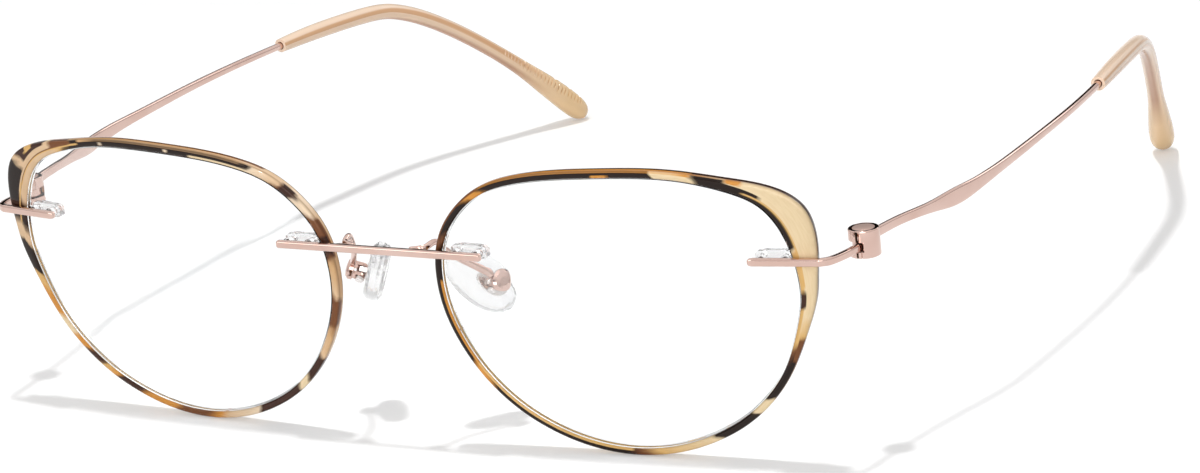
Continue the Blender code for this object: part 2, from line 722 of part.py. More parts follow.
# Shares of the arm's length to the sleeve, each with the arm's height, thickness or squareness
ARM_HEIGHT_SHARES = (
    (0.0, STRIP_HEIGHT), (0.14, NECK_HEIGHT), (0.21, SHOULDER_HEIGHT), (0.285, BLADE_HEIGHT),
    (0.36, BLADE_TAIL_HEIGHT), (0.45, WAIST_HEIGHT), (0.57, TAPER_HEIGHT), (0.72, WIRE_START_HEIGHT),
    (1.0, WIRE_RADIUS * 2.0),
)
ARM_THICKNESS_SHARES = (
    (0.0, STRIP_THICKNESS), (0.31, BLADE_THICKNESS), (0.6, STRIP_THICKNESS), (1.0, WIRE_RADIUS * 2.0),
)
ARM_SQUARENESS_SHARES = ((0.0, 4.5), (0.5, 3.5), (1.0, 2.0))
# Shares of the tip's length, each with a share of the paddle's height or thickness
TIP_HEIGHT_SHARES = (
    (0.0, 0.55), (0.03, 0.60), (0.14, 0.66), (0.70, 0.64), (0.78, 0.71), (0.86, 0.91), (0.92, 1.0),
    (0.965, 0.98), (0.98, 0.86), (0.99, 0.66), (0.997, 0.42), (1.0, 0.2),
)
TIP_THICKNESS_SHARES = (
    (0.0, 0.525), (0.03, 0.57), (0.14, 0.63), (0.76, 0.62), (0.88, 0.88), (0.94, 1.0), (0.965, 0.98),
    (0.98, 0.86), (0.99, 0.66), (0.997, 0.42), (1.0, 0.2),
)
TIP_END_SHARES = (0.98, 0.99, 0.997)


def temple_path():
    """The line of the temple from the hinge barrel to the end of the tip."""
    root = HINGE_X + TEMPLE_ROOT_OFFSET
    knots = []
    for length, bow, rise in STRAIGHT_SHARES:
        knots.append(Vector((root + TEMPLE_BOW * bow, HINGE_Y + TEMPLE_LENGTH_TO_BEND * length,
                             TEMPLE_Z + TEMPLE_ARCH * rise)))
    for reach, inset, drop in DROP_SHARES:
        knots.append(Vector((root - BEND_INSET - TIP_INSET * inset, BEND_Y + TIP_REACH * reach,
                             TEMPLE_Z - (TEMPLE_Z - TIP_REST) * drop)))
    return open_curve(knots, TEMPLE_STEPS)


def path_lengths(path):
    """Length of a path up to each of its points."""
    lengths = [0.0]
    for start, end in zip(path, path[1:]):
        lengths.append(lengths[-1] + (end - start).length)
    return lengths


def path_part(path, places):
    """The stretch of a path between the least and the greatest of some lengths, with a point at each."""
    lengths = path_lengths(path)
    part = []
    for index in range(len(path) - 1):
        low = lengths[index]
        high = lengths[index + 1]
        for place in places:
            if low <= place < high:
                share = (place - low) / (high - low)
                part.append((place, path[index].lerp(path[index + 1], share)))
        if min(places) < high < max(places):
            part.append((high, path[index + 1]))
    if max(places) >= lengths[-1]:
        part.append((lengths[-1], path[-1]))
    part.sort(key=lambda pair: pair[0])
    return part


def temple_core_end():
    """Length along the temple at which the core wire ends inside the tip."""
    return path_lengths(temple_path())[-1] - CORE_SHORT_OF_TIP


def make_temple_arm(side, material):
    """Flat strip at the hinge, a widened blade, then round wire that runs on inside the tip."""
    part = path_part(temple_path(), (0.0, temple_core_end()))
    sections = []
    for length, _ in part:
        share = length / SLEEVE_START
        sections.append(superellipse(table_value(ARM_THICKNESS_SHARES, share),
                                     table_value(ARM_HEIGHT_SHARES, share),
                                     table_value(ARM_SQUARENESS_SHARES, share)))
    rings = sweep([point for _, point in part], sections, UP)
    arm = make_object(side_name(side, "temple_arm"), loft(rings), side, material, HINGE, ROUND)
    overrun = UP * BARREL_RADIUS
    room = cylinder(BARREL_BOTTOM - overrun, BARREL_TOP + overrun, BARREL_RADIUS + SEAT_GAP,
                    ROUND_STEPS * 2)
    apply_tool(arm, room, side)
    return arm


def make_temple_tip(side, material):
    """Acetate tip with a rounded paddle end and a blind bore for the core wire."""
    path = temple_path()
    total = path_lengths(path)[-1]
    sleeve = total - SLEEVE_START
    stops = [SLEEVE_START + sleeve * share for share in TIP_END_SHARES]
    part = path_part(path, [SLEEVE_START, total] + stops)
    sections = []
    for length, _ in part:
        share = (length - SLEEVE_START) / sleeve
        sections.append(superellipse(PADDLE_THICKNESS * table_value(TIP_THICKNESS_SHARES, share),
                                     PADDLE_HEIGHT * table_value(TIP_HEIGHT_SHARES, share),
                                     PADDLE_SQUARENESS))
    rings = sweep([point for _, point in part], sections, UP)
    tip = make_object(side_name(side, "temple_tip"), loft(rings), side, material, HINGE, ROUND)
    bore = path_part(path, (SLEEVE_START - WIRE_RADIUS, temple_core_end() + WIRE_CLEARANCE))
    wide = (WIRE_RADIUS + WIRE_CLEARANCE) * 2.0
    hole = superellipse(wide, wide, 2.0)
    apply_tool(tip, loft(sweep([point for _, point in bore], [hole] * len(bore), UP)), side)
    return tip


# Nose pads: a frame whose x runs along the screw, y down the pad and z away from the nose


def pad_frame():
    """Frame of the left pad at its centre; its z points out to the stirrup."""
    centre = Vector((PAD_CENTRE_X, PAD_CENTRE_Y, LENS_CENTRE.z + PAD_CENTRE_ABOVE_LENS_CENTRE))
    down = Vector((math.sin(PAD_LEAN), math.sin(PAD_PITCH),
                   -math.cos(PAD_LEAN) * math.cos(PAD_PITCH))).normalized()
    level = Vector((math.cos(PAD_SPLAY), -math.sin(PAD_SPLAY), 0.0))
    out = (level - down * level.dot(down)).normalized()
    across = down.cross(out)
    frame = Matrix((across, down, out)).transposed().to_4x4()
    frame.translation = centre
    return frame


PAD_SCREW_HEIGHT = PAD_THICKNESS / 2.0 + PAD_SCREW_STAND_OFF
STIRRUP_FLOOR = PAD_SCREW_HEIGHT + LUG_RADIUS + STIRRUP_FLOOR_GAP


def lug_frame():
    """The pad frame moved down the pad to where the lug stands."""
    return pad_frame() @ Matrix.Translation((0.0, LUG_DROP, 0.0))


def pad_axis_point():
    """Middle of the pad screw, about which the pad rocks."""
    return lug_frame() @ Vector((0.0, 0.0, PAD_SCREW_HEIGHT))


# Shares of the pad's width and of half its thickness, from the nose face to the back
PAD_PROFILE_SHARES = (
    (0.40, -1.0), (0.72, -1.0), (0.92, -0.72), (1.0, -0.1), (0.97, 0.45), (0.84, 0.85), (0.66, 1.0),
)
PAD_HOLLOW_SHARE = 0.5


PAD_STEPS = 24


def pad_outline(scale_x, scale_y, count):
    """Rounded pad outline, broader towards its lower end."""
    points = []
    for step in range(count):
        angle = math.tau * step / count
        belly = 1.0 + PAD_BELLY_SHARE * math.sin(angle)
        points.append((math.cos(angle) * scale_x * belly / 2.0, math.sin(angle) * scale_y / 2.0))
    return points


def make_nose_pad(side, material):
    """Clear soft pad with a rounded rim, a slightly hollow face and a pocket for the insert."""
    frame = pad_frame()
    half = PAD_THICKNESS / 2.0
    rings = []
    for share, depth in PAD_PROFILE_SHARES:
        length = PAD_LENGTH - PAD_WIDTH * (1.0 - share)
        z = half * depth + (PAD_HOLLOW if share < PAD_HOLLOW_SHARE and depth < 0.0 else 0.0)
        outline = pad_outline(PAD_WIDTH * share, length, PAD_STEPS)
        rings.append([frame @ Vector((x, y, z)) for x, y in outline])
    name = side_name(side, "nose_pad")
    pad = make_object(name, loft(rings), side, material, pad_axis_point(), ROUND)
    socket = lug_frame()
    pocket = []
    for z in (half - INSERT_THICKNESS - INSERT_CLEARANCE, half + INSERT_THICKNESS):
        outline = pad_outline(INSERT_WIDTH + INSERT_CLEARANCE * 2.0,
                              INSERT_LENGTH + INSERT_CLEARANCE * 2.0, ROUND_STEPS)
        pocket.append([socket @ Vector((x, y, z)) for x, y in outline])
    apply_tool(pad, loft(pocket), side)
    return pad


def tongue(middle, thickness, radius, foot):
    """Flat tongue across the pad screw, round about it, with its foot at a height from it."""
    frame = lug_frame()
    turn = math.copysign(radius, -foot)
    outline = [(-radius, foot), (radius, foot)]
    for step in range(SMALL_ROUND_STEPS // 2 + 1):
        angle = math.tau * step / SMALL_ROUND_STEPS
        outline.append((math.cos(angle) * radius, math.sin(angle) * turn))
    rings = []
    for x in (middle - thickness / 2.0, middle + thickness / 2.0):
        rings.append([frame @ Vector((x, y, PAD_SCREW_HEIGHT + z)) for y, z in outline])
    return loft(rings)


def screw_hole(reach):
    """Tool for the pad screw's hole, reaching equally to both sides of the lug."""
    across = lug_frame().col[0].to_3d()
    axis = pad_axis_point()
    radius = PAD_SCREW_RADIUS + PAD_SCREW_CLEARANCE
    return cylinder(axis - across * reach, axis + across * reach, radius)


def make_pad_insert(side, material):
    """Metal plate set in the back of the pad, with a lug and an eye for the screw."""
    frame = lug_frame()
    half = PAD_THICKNESS / 2.0
    rings = []
    for z in (half - INSERT_THICKNESS, half):
        rings.append([frame @ Vector((x, y, z))
                      for x, y in pad_outline(INSERT_WIDTH, INSERT_LENGTH, ROUND_STEPS)])
    insert = make_object(side_name(side, "pad_insert"), loft(rings), side, material,
                         pad_axis_point(), ROUND)
    foot = -PAD_SCREW_STAND_OFF - INSERT_THICKNESS / 2.0
    apply_tool(insert, tongue(0.0, LUG_THICKNESS, LUG_RADIUS, foot), side, "UNION")
    apply_tool(insert, screw_hole(LUG_THICKNESS), side)
    return insert


def ear_centre():
    """Distance of each ear's middle from the middle of the stirrup."""
    return LUG_THICKNESS / 2.0 + EAR_GAP_EACH_SIDE + EAR_THICKNESS / 2.0


# Height shares of the stirrup's plate and of its dome, with the share of its radius there
DOME_SHARES = ((0.0, 0.0, 1.0), (1.0, 0.0, 1.0), (1.0, 0.7, 0.78), (1.0, 1.0, 0.4))


def make_stirrup(side, material):
    """Domed round base with two ears that hold the pad screw."""
    frame = lug_frame()
    rings = []
    for plate, dome, share in DOME_SHARES:
        z = STIRRUP_FLOOR + STIRRUP_BASE_THICKNESS * plate + STIRRUP_DOME * dome
        ring = circle(Vector((0.0, 0.0, z)), STIRRUP_BASE_RADIUS * share, ROUND_STEPS)
        rings.append([frame @ point for point in ring])
    stirrup = make_object(side_name(side, "pad_stirrup"), loft(rings), side, material, smooth=ROUND)
    foot = STIRRUP_FLOOR + STIRRUP_BASE_THICKNESS / 2.0 - PAD_SCREW_HEIGHT
    for sign in (-1.0, 1.0):
        ear = tongue(sign * ear_centre(), EAR_THICKNESS, EAR_RADIUS, foot)
        apply_tool(stirrup, ear, side, "UNION")
    apply_tool(stirrup, screw_hole(ear_centre() + EAR_THICKNESS), side)
    return stirrup


PAD_SCREW_TAPER_SHARE = 0.85


def make_pad_screw(side, material):
    """Cross screw through both ears and the lug, its head to the front."""
    across = lug_frame().col[0].to_3d()
    axis = pad_axis_point()
    outer = ear_centre() + EAR_THICKNESS / 2.0
    front = -across if across.y > 0.0 else across
    neck = axis + front * (outer + PAD_SCREW_CLEARANCE)
    shank = cylinder(axis - front * (outer + PAD_SCREW_CLEARANCE),
                     neck + front * (PAD_SCREW_HEAD_LENGTH / 2.0), PAD_SCREW_RADIUS)
    screw = make_object(side_name(side, "pad_screw"), shank, side, material, smooth=ROUND)
    head = cylinder(neck, neck + front * PAD_SCREW_HEAD_LENGTH, PAD_SCREW_HEAD_RADIUS,
                    SMALL_ROUND_STEPS, PAD_SCREW_HEAD_RADIUS * PAD_SCREW_TAPER_SHARE)
    apply_tool(screw, head, side, "UNION")
    return screw


# Place of the pad arm's bow between its root and its turn, and its side direction
ARM_BOW_PLACE_SHARE = 0.5
ARM_SIDE_SHARES = (0.35, -0.9, 0.25)


def make_pad_arm(side, material):
    """Wire from the back of the bridge, back past the rim and down to the stirrup."""
    bar = bridge_frame().translation
    start = Vector((ARM_ROOT_X, bar.y + SEAT_GAP + ARM_WIDTH / 2.0, bar.z))
    turn = Vector((ARM_TURN_X, bar.y + ARM_TURN_REACH, bar.z + ARM_TURN_RISE))
    bow = Vector((ARM_BOW, -ARM_BOW, 0.0))
    back = Vector((ARM_BACK_X, bar.y + ARM_BACK_REACH, bar.z - ARM_DROP))
    frame = lug_frame()
    plate = STIRRUP_FLOOR + STIRRUP_BASE_THICKNESS / 2.0
    top = frame @ Vector((0.0, -STIRRUP_BASE_RADIUS - SEAT_GAP, plate))
    lead = top - frame.col[1].to_3d() * ARM_WIDTH
    knots = [start, start.lerp(turn, ARM_BOW_PLACE_SHARE) + bow, turn, back, lead, top]
    path = open_curve(knots, ARM_STEPS)
    section = superellipse(ARM_WIDTH, ARM_HEIGHT, ARM_SQUARENESS, ARM_SECTION_STEPS)
    rings = sweep(path, [section] * len(path), Vector(ARM_SIDE_SHARES))
    return make_object(side_name(side, "pad_arm"), loft(rings), side, material, smooth=ROUND)


def settle():
    """Move everything so that the origin is the middle of the base of the glasses."""
    corners = []
    for thing in bpy.data.objects:
        if not thing.hide_render:
            corners += [thing.matrix_world @ vertex.co for vertex in thing.data.vertices]
    low = Vector([min(corner[axis] for corner in corners) for axis in range(3)])
    high = Vector([max(corner[axis] for corner in corners) for axis in range(3)])
    shift = Vector((-(low.x + high.x) / 2.0, -(low.y + high.y) / 2.0, -low.z))
    for thing in bpy.data.objects:
        thing.location += shift
    bpy.context.view_layer.update()


def rose_gold():
    """Polished rose gold plating."""
    return make_material("rose_gold", (0.80, 0.56, 0.47), 0.22, 1.0)


def tortoise_acetate():
    """Polished tortoise acetate of the rims."""
    return make_material("tortoise_acetate", (0.42, 0.24, 0.10), 0.18, 0.0)


def clear_lens():
    """Clear plastic of the lenses."""
    return make_material("clear_lens", (0.95, 0.97, 0.97), 0.02, 0.0, 1.0)


def clear_silicone():
    """Soft clear plastic of the pads and the bushings."""
    return make_material("clear_silicone", (0.92, 0.93, 0.93), 0.25, 0.0, 0.8)


def beige_acetate():
    """Translucent beige acetate of the tips."""
    return make_material("beige_acetate", (0.82, 0.62, 0.42), 0.25, 0.0)


def steel():
    """Plain steel of the small screws and inserts."""
    return make_material("steel", (0.62, 0.60, 0.58), 0.3, 1.0)


def build():
    """Make every piece of the glasses."""
    clear_scene()
    metal = rose_gold()
    tortoise = tortoise_acetate()
    lens_plastic = clear_lens()
    silicone = clear_silicone()
    acetate = beige_acetate()
    screw_metal = steel()
    make_bridge(metal)
    for side in (1, -1):
        make_rim(side, tortoise)
        make_lens(side, lens_plastic)
        make_endpiece(side, metal)
        make_bushing(side, "bridge_bushing", bridge_frame(), silicone)
        make_bushing(side, "temple_bushing", endpiece_frame(), silicone)
        make_pad_arm(side, metal)
        make_stirrup(side, metal)
        make_pad_screw(side, screw_metal)
        make_pad_insert(side, screw_metal)
        make_nose_pad(side, silicone)
        make_barrel(side, metal)
        make_hinge_screw(side, metal)
        make_temple_arm(side, metal)
        make_temple_tip(side, acetate)
    bpy.context.view_layer.update()
    settle()


build()
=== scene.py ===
# %% [markdown]
# # Dressing a pair of cat eye glasses
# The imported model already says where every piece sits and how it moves. This lesson gives the
# pieces the soft edges, the clear plastics, the polished metal and the tortoise pattern of the
# real glasses. All lengths are metres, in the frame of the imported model: +X is the wearer's
# left, the front faces -Y and +Z is up.

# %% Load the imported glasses
import json
import math

import bpy
from mathutils import Matrix, Vector
from mathutils.bvhtree import BVHTree


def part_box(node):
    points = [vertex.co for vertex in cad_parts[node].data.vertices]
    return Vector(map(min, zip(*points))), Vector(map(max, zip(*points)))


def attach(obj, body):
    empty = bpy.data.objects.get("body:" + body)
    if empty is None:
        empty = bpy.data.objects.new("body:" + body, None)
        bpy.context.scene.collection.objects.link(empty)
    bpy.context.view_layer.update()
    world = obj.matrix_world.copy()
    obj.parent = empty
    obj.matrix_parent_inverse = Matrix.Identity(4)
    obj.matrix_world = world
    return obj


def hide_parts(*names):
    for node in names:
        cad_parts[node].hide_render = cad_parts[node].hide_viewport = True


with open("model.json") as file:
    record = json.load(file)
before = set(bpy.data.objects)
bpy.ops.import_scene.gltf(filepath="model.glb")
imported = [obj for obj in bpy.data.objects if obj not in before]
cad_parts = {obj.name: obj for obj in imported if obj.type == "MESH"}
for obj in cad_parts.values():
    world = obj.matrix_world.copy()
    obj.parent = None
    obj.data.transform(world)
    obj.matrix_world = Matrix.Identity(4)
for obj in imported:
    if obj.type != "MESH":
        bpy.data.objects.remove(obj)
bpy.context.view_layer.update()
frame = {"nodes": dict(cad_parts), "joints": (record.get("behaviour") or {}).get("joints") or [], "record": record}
MM = 0.001
SIDES = ("left", "right")

# %% [markdown]
# ## The camera
# A long lens from some way off keeps the two lenses nearly the same size. The camera stands to
# the wearer's left, a little above the glasses, and is rolled by a few degrees, as a hand-held
# camera often is. Its axes are worked out once and put straight into its matrix. The frame is
# shifted by a few pixels of the photograph.

# %% Place the camera
AZIMUTH, ELEVATION, ROLL = (math.radians(angle) for angle in (30.0, 17.3, -6.0))
LOOK_AT = Vector((25.08, -53.75, 25.54)) * MM
CAMERA_DISTANCE = 680 * MM
FOCAL_LENGTH, SENSOR_WIDTH = 150.56, 36.0
PHOTO_WIDTH = 1200
back = Vector((math.sin(AZIMUTH) * math.cos(ELEVATION),
               -math.cos(AZIMUTH) * math.cos(ELEVATION), math.sin(ELEVATION)))
level_right = Vector((0.0, 0.0, 1.0)).cross(back).normalized()
level_up = back.cross(level_right)
camera_right = level_right * math.cos(ROLL) + level_up * math.sin(ROLL)
camera_up = level_up * math.cos(ROLL) - level_right * math.sin(ROLL)
bpy.ops.object.select_all(action="DESELECT")
bpy.ops.object.camera_add()
camera = bpy.context.object
turn = Matrix((camera_right, camera_up, back)).transposed().to_4x4()
camera.matrix_world = Matrix.Translation(LOOK_AT + back * CAMERA_DISTANCE) @ turn
camera.data.lens = FOCAL_LENGTH
camera.data.sensor_width = SENSOR_WIDTH
camera.data.shift_x = -13 / PHOTO_WIDTH
camera.data.shift_y = -1 / PHOTO_WIDTH
camera.data.clip_start = 0.01
camera.data.clip_end = 100.0
bpy.context.scene.camera = camera
bpy.context.scene.view_settings.view_transform = "Standard"
print("camera at", [round(value, 4) for value in camera.location])

# %% [markdown]
# ## Helpers for shader nodes
# Materials here are small node trees. One helper adds a node, sets its properties and fills its
# sockets, so that each material reads as a short list of steps.

# %% Make shader nodes in one line each
def add_node(tree, kind, sockets=None, **settings):
    """Add a node, set its properties, then fill its sockets with values or other sockets."""
    made = tree.nodes.new(kind)
    for name, value in settings.items():
        setattr(made, name, value)
    for name, value in (sockets or {}).items():
        if isinstance(value, bpy.types.NodeSocket):
            tree.links.new(value, made.inputs[name])
        else:
            made.inputs[name].default_value = value
    return made


def maths(tree, operation, first, second=0.0, third=0.0):
    """A Math node's result."""
    made = add_node(tree, "ShaderNodeMath", {0: first, 1: second, 2: third}, operation=operation)
    return made.outputs[0]


def ramp(tree, factor, stops):
    """A colour ramp through (place, colour) stops; a colour is three linear numbers."""
    made = add_node(tree, "ShaderNodeValToRGB", {"Fac": factor})
    elements = made.color_ramp.elements
    while len(elements) < len(stops):
        elements.new(0.5)
    for element, (place, colour) in zip(elements, stops):
        element.position = place
        element.color = (*colour, 1.0)
    return made.outputs["Color"]


def blend(tree, factor, first, second):
    """Mix two colours."""
    made = add_node(tree, "ShaderNodeMix", data_type="RGBA")
    for index, value in ((0, factor), (6, first), (7, second)):
        if isinstance(value, bpy.types.NodeSocket):
            tree.links.new(value, made.inputs[index])
        elif index:
            made.inputs[index].default_value = (*value, 1.0)
        else:
            made.inputs[index].default_value = value
    return made.outputs[2]


def new_material(name):
    """A material with a Principled shader; returns the material, its tree and the shader."""
    material = bpy.data.materials.new(name)
    material.use_nodes = True
    tree = material.node_tree
    return material, tree, tree.nodes["Principled BSDF"]


def new_group(name, inputs, outputs):
    """A shader node group; inputs are (name, kind, value) and outputs are (name, kind)."""
    group = bpy.data.node_groups.new(name, "ShaderNodeTree")
    for label, kind, value in inputs:
        socket = group.interface.new_socket(label, in_out="INPUT", socket_type=kind)
        if value is not None:
            socket.default_value = value
    for label, kind in outputs:
        group.interface.new_socket(label, in_out="OUTPUT", socket_type=kind)
    return group, group.nodes.new("NodeGroupInput"), group.nodes.new("NodeGroupOutput")


FLOAT, VECTOR = "NodeSocketFloat", "NodeSocketVector"
print("node helpers ready")

# %% [markdown]
# ## Floor, backdrop and light
# Product photographs of glasses are taken on white. Here one small lamp high above draws the
# shadows, and four larger soft ones fill them. The floor is pale by its own colour. A faint glow
# that the eye, mirrors and clear pieces see lifts it to plain white, more so far away, while the
# soft shadow stays. A black card behind the table is there for the metal alone: without
# something dark to mirror, gold looks like paint.

# %% White floor that keeps the shadow
FLOOR_GREY = 0.80
GLOW_NEAR, GLOW_FAR = 0.24, 0.7
GLOW_START, GLOW_END = 0.2, 0.9
bpy.ops.mesh.primitive_plane_add(size=6.0, location=(0.0, 0.0, -0.01 * MM))
floor = bpy.context.object
floor.name = "floor"
paper, tree, shader = new_material("white_paper")
shader.inputs["Base Color"].default_value = (FLOOR_GREY, FLOOR_GREY, FLOOR_GREY, 1.0)
shader.inputs["Roughness"].default_value = 0.9
shader.inputs["Specular IOR Level"].default_value = 0.0
path = add_node(tree, "ShaderNodeLightPath")
seen = maths(tree, "MAXIMUM", path.outputs["Is Camera Ray"], path.outputs["Is Glossy Ray"])
seen = maths(tree, "MAXIMUM", seen, path.outputs["Is Transmission Ray"])
spot = add_node(tree, "ShaderNodeTexCoord").outputs["Object"]
reach = add_node(tree, "ShaderNodeVectorMath", {0: spot}, operation="LENGTH").outputs["Value"]
level = add_node(tree, "ShaderNodeMapRange",
                 {"Value": reach, "From Min": GLOW_START, "From Max": GLOW_END,
                  "To Min": GLOW_NEAR, "To Max": GLOW_FAR}).outputs["Result"]
glow = add_node(tree, "ShaderNodeEmission", {"Strength": maths(tree, "MULTIPLY", seen, level)})
both = add_node(tree, "ShaderNodeAddShader", {0: shader.outputs[0], 1: glow.outputs[0]})
tree.links.new(both.outputs[0], tree.nodes["Material Output"].inputs["Surface"])
floor.data.materials.append(paper)
print("floor", floor.dimensions[:2])

# %% Sky: white to the eye, soft grey as a light
SKY_AS_LIGHT = 0.38
world = bpy.data.worlds.new("studio")
world.use_nodes = True
bpy.context.scene.world = world
tree = world.node_tree
background = tree.nodes["Background"]
direction = add_node(tree, "ShaderNodeTexCoord").outputs["Generated"]
height = add_node(tree, "ShaderNodeSeparateXYZ", {0: direction}).outputs["Z"]
sky = ramp(tree, maths(tree, "MULTIPLY_ADD", height, 0.5, 0.5),
           ((0.0, (0.8, 0.8, 0.8)), (0.5, (0.66, 0.66, 0.66)), (0.64, (0.76, 0.76, 0.76)),
            (0.74, (1.0, 1.0, 1.0)), (1.0, (1.0, 1.0, 1.0))))
path = add_node(tree, "ShaderNodeLightPath")
straight = path.outputs["Is Camera Ray"]
mirrored_rays = maths(tree, "MAXIMUM", path.outputs["Is Glossy Ray"],
                      path.outputs["Is Transmission Ray"])
bright = maths(tree, "MAXIMUM", straight, mirrored_rays)
tree.links.new(blend(tree, straight, sky, (1.0, 1.0, 1.0)), background.inputs["Color"])
strength = maths(tree, "MULTIPLY_ADD", bright, 1.0 - SKY_AS_LIGHT, SKY_AS_LIGHT)
tree.links.new(strength, background.inputs["Strength"])
print("world", world.name)

# %% Lamps and a black card
def add_lamp(name, place, size, power):
    """A round soft lamp that points at the glasses."""
    bpy.ops.object.light_add(type="AREA", location=place)
    lamp = bpy.context.object
    lamp.name = name
    lamp.data.shape = "DISK"
    lamp.data.size = size
    lamp.data.energy = power
    lamp.rotation_euler = (LOOK_AT - Vector(place)).to_track_quat("-Z", "Y").to_euler()


add_lamp("small_overhead", (0.02, -0.09, 0.78), 0.05, 3.0)
add_lamp("large_overhead", (-0.1, 0.1, 0.9), 0.7, 0.5)
add_lamp("front_window", (0.35, -1.0, 0.32), 0.8, 5.8)
add_lamp("left_strip", (-0.58, -0.92, 0.56), 0.6, 1.7)
add_lamp("back_strip", (0.36, 1.14, 0.67), 0.4, 0.8)


def add_card(name, size, place, turn_x, turn_z):
    """A black card that only mirrors see."""
    bpy.ops.mesh.primitive_plane_add(size=1.0, location=place,
                                     rotation=(math.radians(turn_x), 0.0, math.radians(turn_z)))
    card = bpy.context.object
    card.name = name
    card.scale = (*size, 1.0)
    black, _, card_shader = new_material(name)
    card_shader.inputs["Base Color"].default_value = (0.01, 0.008, 0.007, 1.0)
    card_shader.inputs["Roughness"].default_value = 1.0
    card_shader.inputs["Specular IOR Level"].default_value = 0.0
    card.data.materials.append(black)
    card.visible_camera = False
    card.visible_diffuse = False
    card.visible_transmission = False
    card.visible_shadow = False


add_card("back_card", (1.2, 0.5), (-0.62, 1.2, 0.5), 90.0, 30.0)

# %% [markdown]
# ## Shared surface effects
# Polished things are never perfectly even. One node group gives every finish its faint haze and
# its tiny waves; the materials only say how strong they are and how fine.

# %% Group: haze and tiny waves
def make_fine_surface():
    """Roughness that wanders about a middle value, and a faint bump."""
    group, given, result = new_group(
        "fine_surface",
        (("Vector", VECTOR, None), ("Scale", FLOAT, 900.0), ("Middle", FLOAT, 0.1),
         ("Spread", FLOAT, 0.05), ("Bump", FLOAT, 0.05)),
        (("Roughness", FLOAT), ("Normal", VECTOR)))
    speck = add_node(group, "ShaderNodeTexNoise",
                     {"Vector": given.outputs["Vector"], "Scale": given.outputs["Scale"],
                      "Detail": 3.0, "Roughness": 0.6})
    centred = maths(group, "SUBTRACT", speck.outputs["Fac"], 0.5)
    haze = maths(group, "MULTIPLY_ADD", centred, given.outputs["Spread"], given.outputs["Middle"])
    bump = add_node(group, "ShaderNodeBump",
                    {"Strength": given.outputs["Bump"], "Distance": 0.02 * MM,
                     "Height": speck.outputs["Fac"]})
    group.links.new(haze, result.inputs["Roughness"])
    group.links.new(bump.outputs["Normal"], result.inputs["Normal"])
    return group


FINE_SURFACE = make_fine_surface()


def give_surface(tree, shader, vector, **values):
    """Place the fine surface group in a material."""
    made = add_node(tree, "ShaderNodeGroup", node_tree=FINE_SURFACE)
    tree.links.new(vector, made.inputs["Vector"])
    for name, value in values.items():
        made.inputs[name].default_value = value
    tree.links.new(made.outputs["Roughness"], shader.inputs["Roughness"])
    tree.links.new(made.outputs["Normal"], shader.inputs["Normal"])


def object_place(tree):
    """The object coordinates of a material."""
    return add_node(tree, "ShaderNodeTexCoord").outputs["Object"]


print("group", FINE_SURFACE.name)

# %% [markdown]
# ## Rose gold
# The bars, hinges and temples are a plated alloy, polished to a mirror. Rose gold is a pale
# copper pink; the plating is a little paler in places, which a slow noise gives. The heads of the
# hinge screws are satin, so they get the same gold with a rougher middle value.

# %% Rose gold and plain steel
def make_rose_gold(name, middle):
    """Rose gold plating, from polished to satin by its middle roughness."""
    material, tree, shader = new_material(name)
    place = object_place(tree)
    cloud = add_node(tree, "ShaderNodeTexNoise", {"Vector": place, "Scale": 160.0, "Detail": 2.0})
    colour = ramp(tree, cloud.outputs["Fac"],
                  ((0.3, (0.61, 0.42, 0.36)), (0.7, (0.67, 0.49, 0.43))))
    tree.links.new(colour, shader.inputs["Base Color"])
    shader.inputs["Metallic"].default_value = 1.0
    give_surface(tree, shader, place, Scale=1500.0, Middle=middle, Spread=0.05, Bump=0.04)
    return material


def make_steel():
    """Turned steel of the small screws and the plates in the nose pads."""
    material, tree, shader = new_material("screw_steel")
    place = object_place(tree)
    cloud = add_node(tree, "ShaderNodeTexNoise", {"Vector": place, "Scale": 700.0, "Detail": 4.0})
    colour = ramp(tree, cloud.outputs["Fac"],
                  ((0.3, (0.70, 0.66, 0.64)), (0.7, (0.84, 0.81, 0.79))))
    tree.links.new(colour, shader.inputs["Base Color"])
    shader.inputs["Metallic"].default_value = 1.0
    give_surface(tree, shader, place, Scale=2500.0, Middle=0.28, Spread=0.12, Bump=0.12)
    return material


ROSE_GOLD = make_rose_gold("rose_gold_polished", 0.075)
ROSE_SATIN = make_rose_gold("rose_gold_satin", 0.42)
STEEL = make_steel()
print("metals", ROSE_GOLD.name, STEEL.name)

# %% [markdown]
# ## Clear plastics
# The demonstration lenses are hard and glass clear. The nose pads and the double bushings are a
# softer clear plastic, with a faint haze. Both are Principled shaders; the lens transmits all
# light, the soft plastic nearly all.

# %% Clear lens and clear soft plastic
def make_clear(name, colours, clear, index, scale, middle, spread, bump):
    """A transparent plastic, tinted a little by a slow noise."""
    material, tree, shader = new_material(name)
    place = object_place(tree)
    cloud = add_node(tree, "ShaderNodeTexNoise", {"Vector": place, "Scale": scale / 8.0})
    tree.links.new(ramp(tree, cloud.outputs["Fac"], ((0.3, colours[0]), (0.7, colours[1]))),
                   shader.inputs["Base Color"])
    shader.inputs["Transmission Weight"].default_value = clear
    shader.inputs["IOR"].default_value = index
    give_surface(tree, shader, place, Scale=scale, Middle=middle, Spread=spread, Bump=bump)
    return material


LENS_PLASTIC = make_clear("lens_plastic", ((0.97, 0.985, 0.99), (0.985, 0.99, 0.99)),
                          clear=1.0, index=1.50, scale=400.0, middle=0.006, spread=0.008,
                          bump=0.0)
SOFT_PLASTIC = make_clear("soft_clear_plastic", ((0.94, 0.94, 0.95), (0.98, 0.98, 0.98)),
                          clear=0.92, index=1.45, scale=900.0, middle=0.14, spread=0.06,
                          bump=0.04)
print("clear", LENS_PLASTIC.name, SOFT_PLASTIC.name)

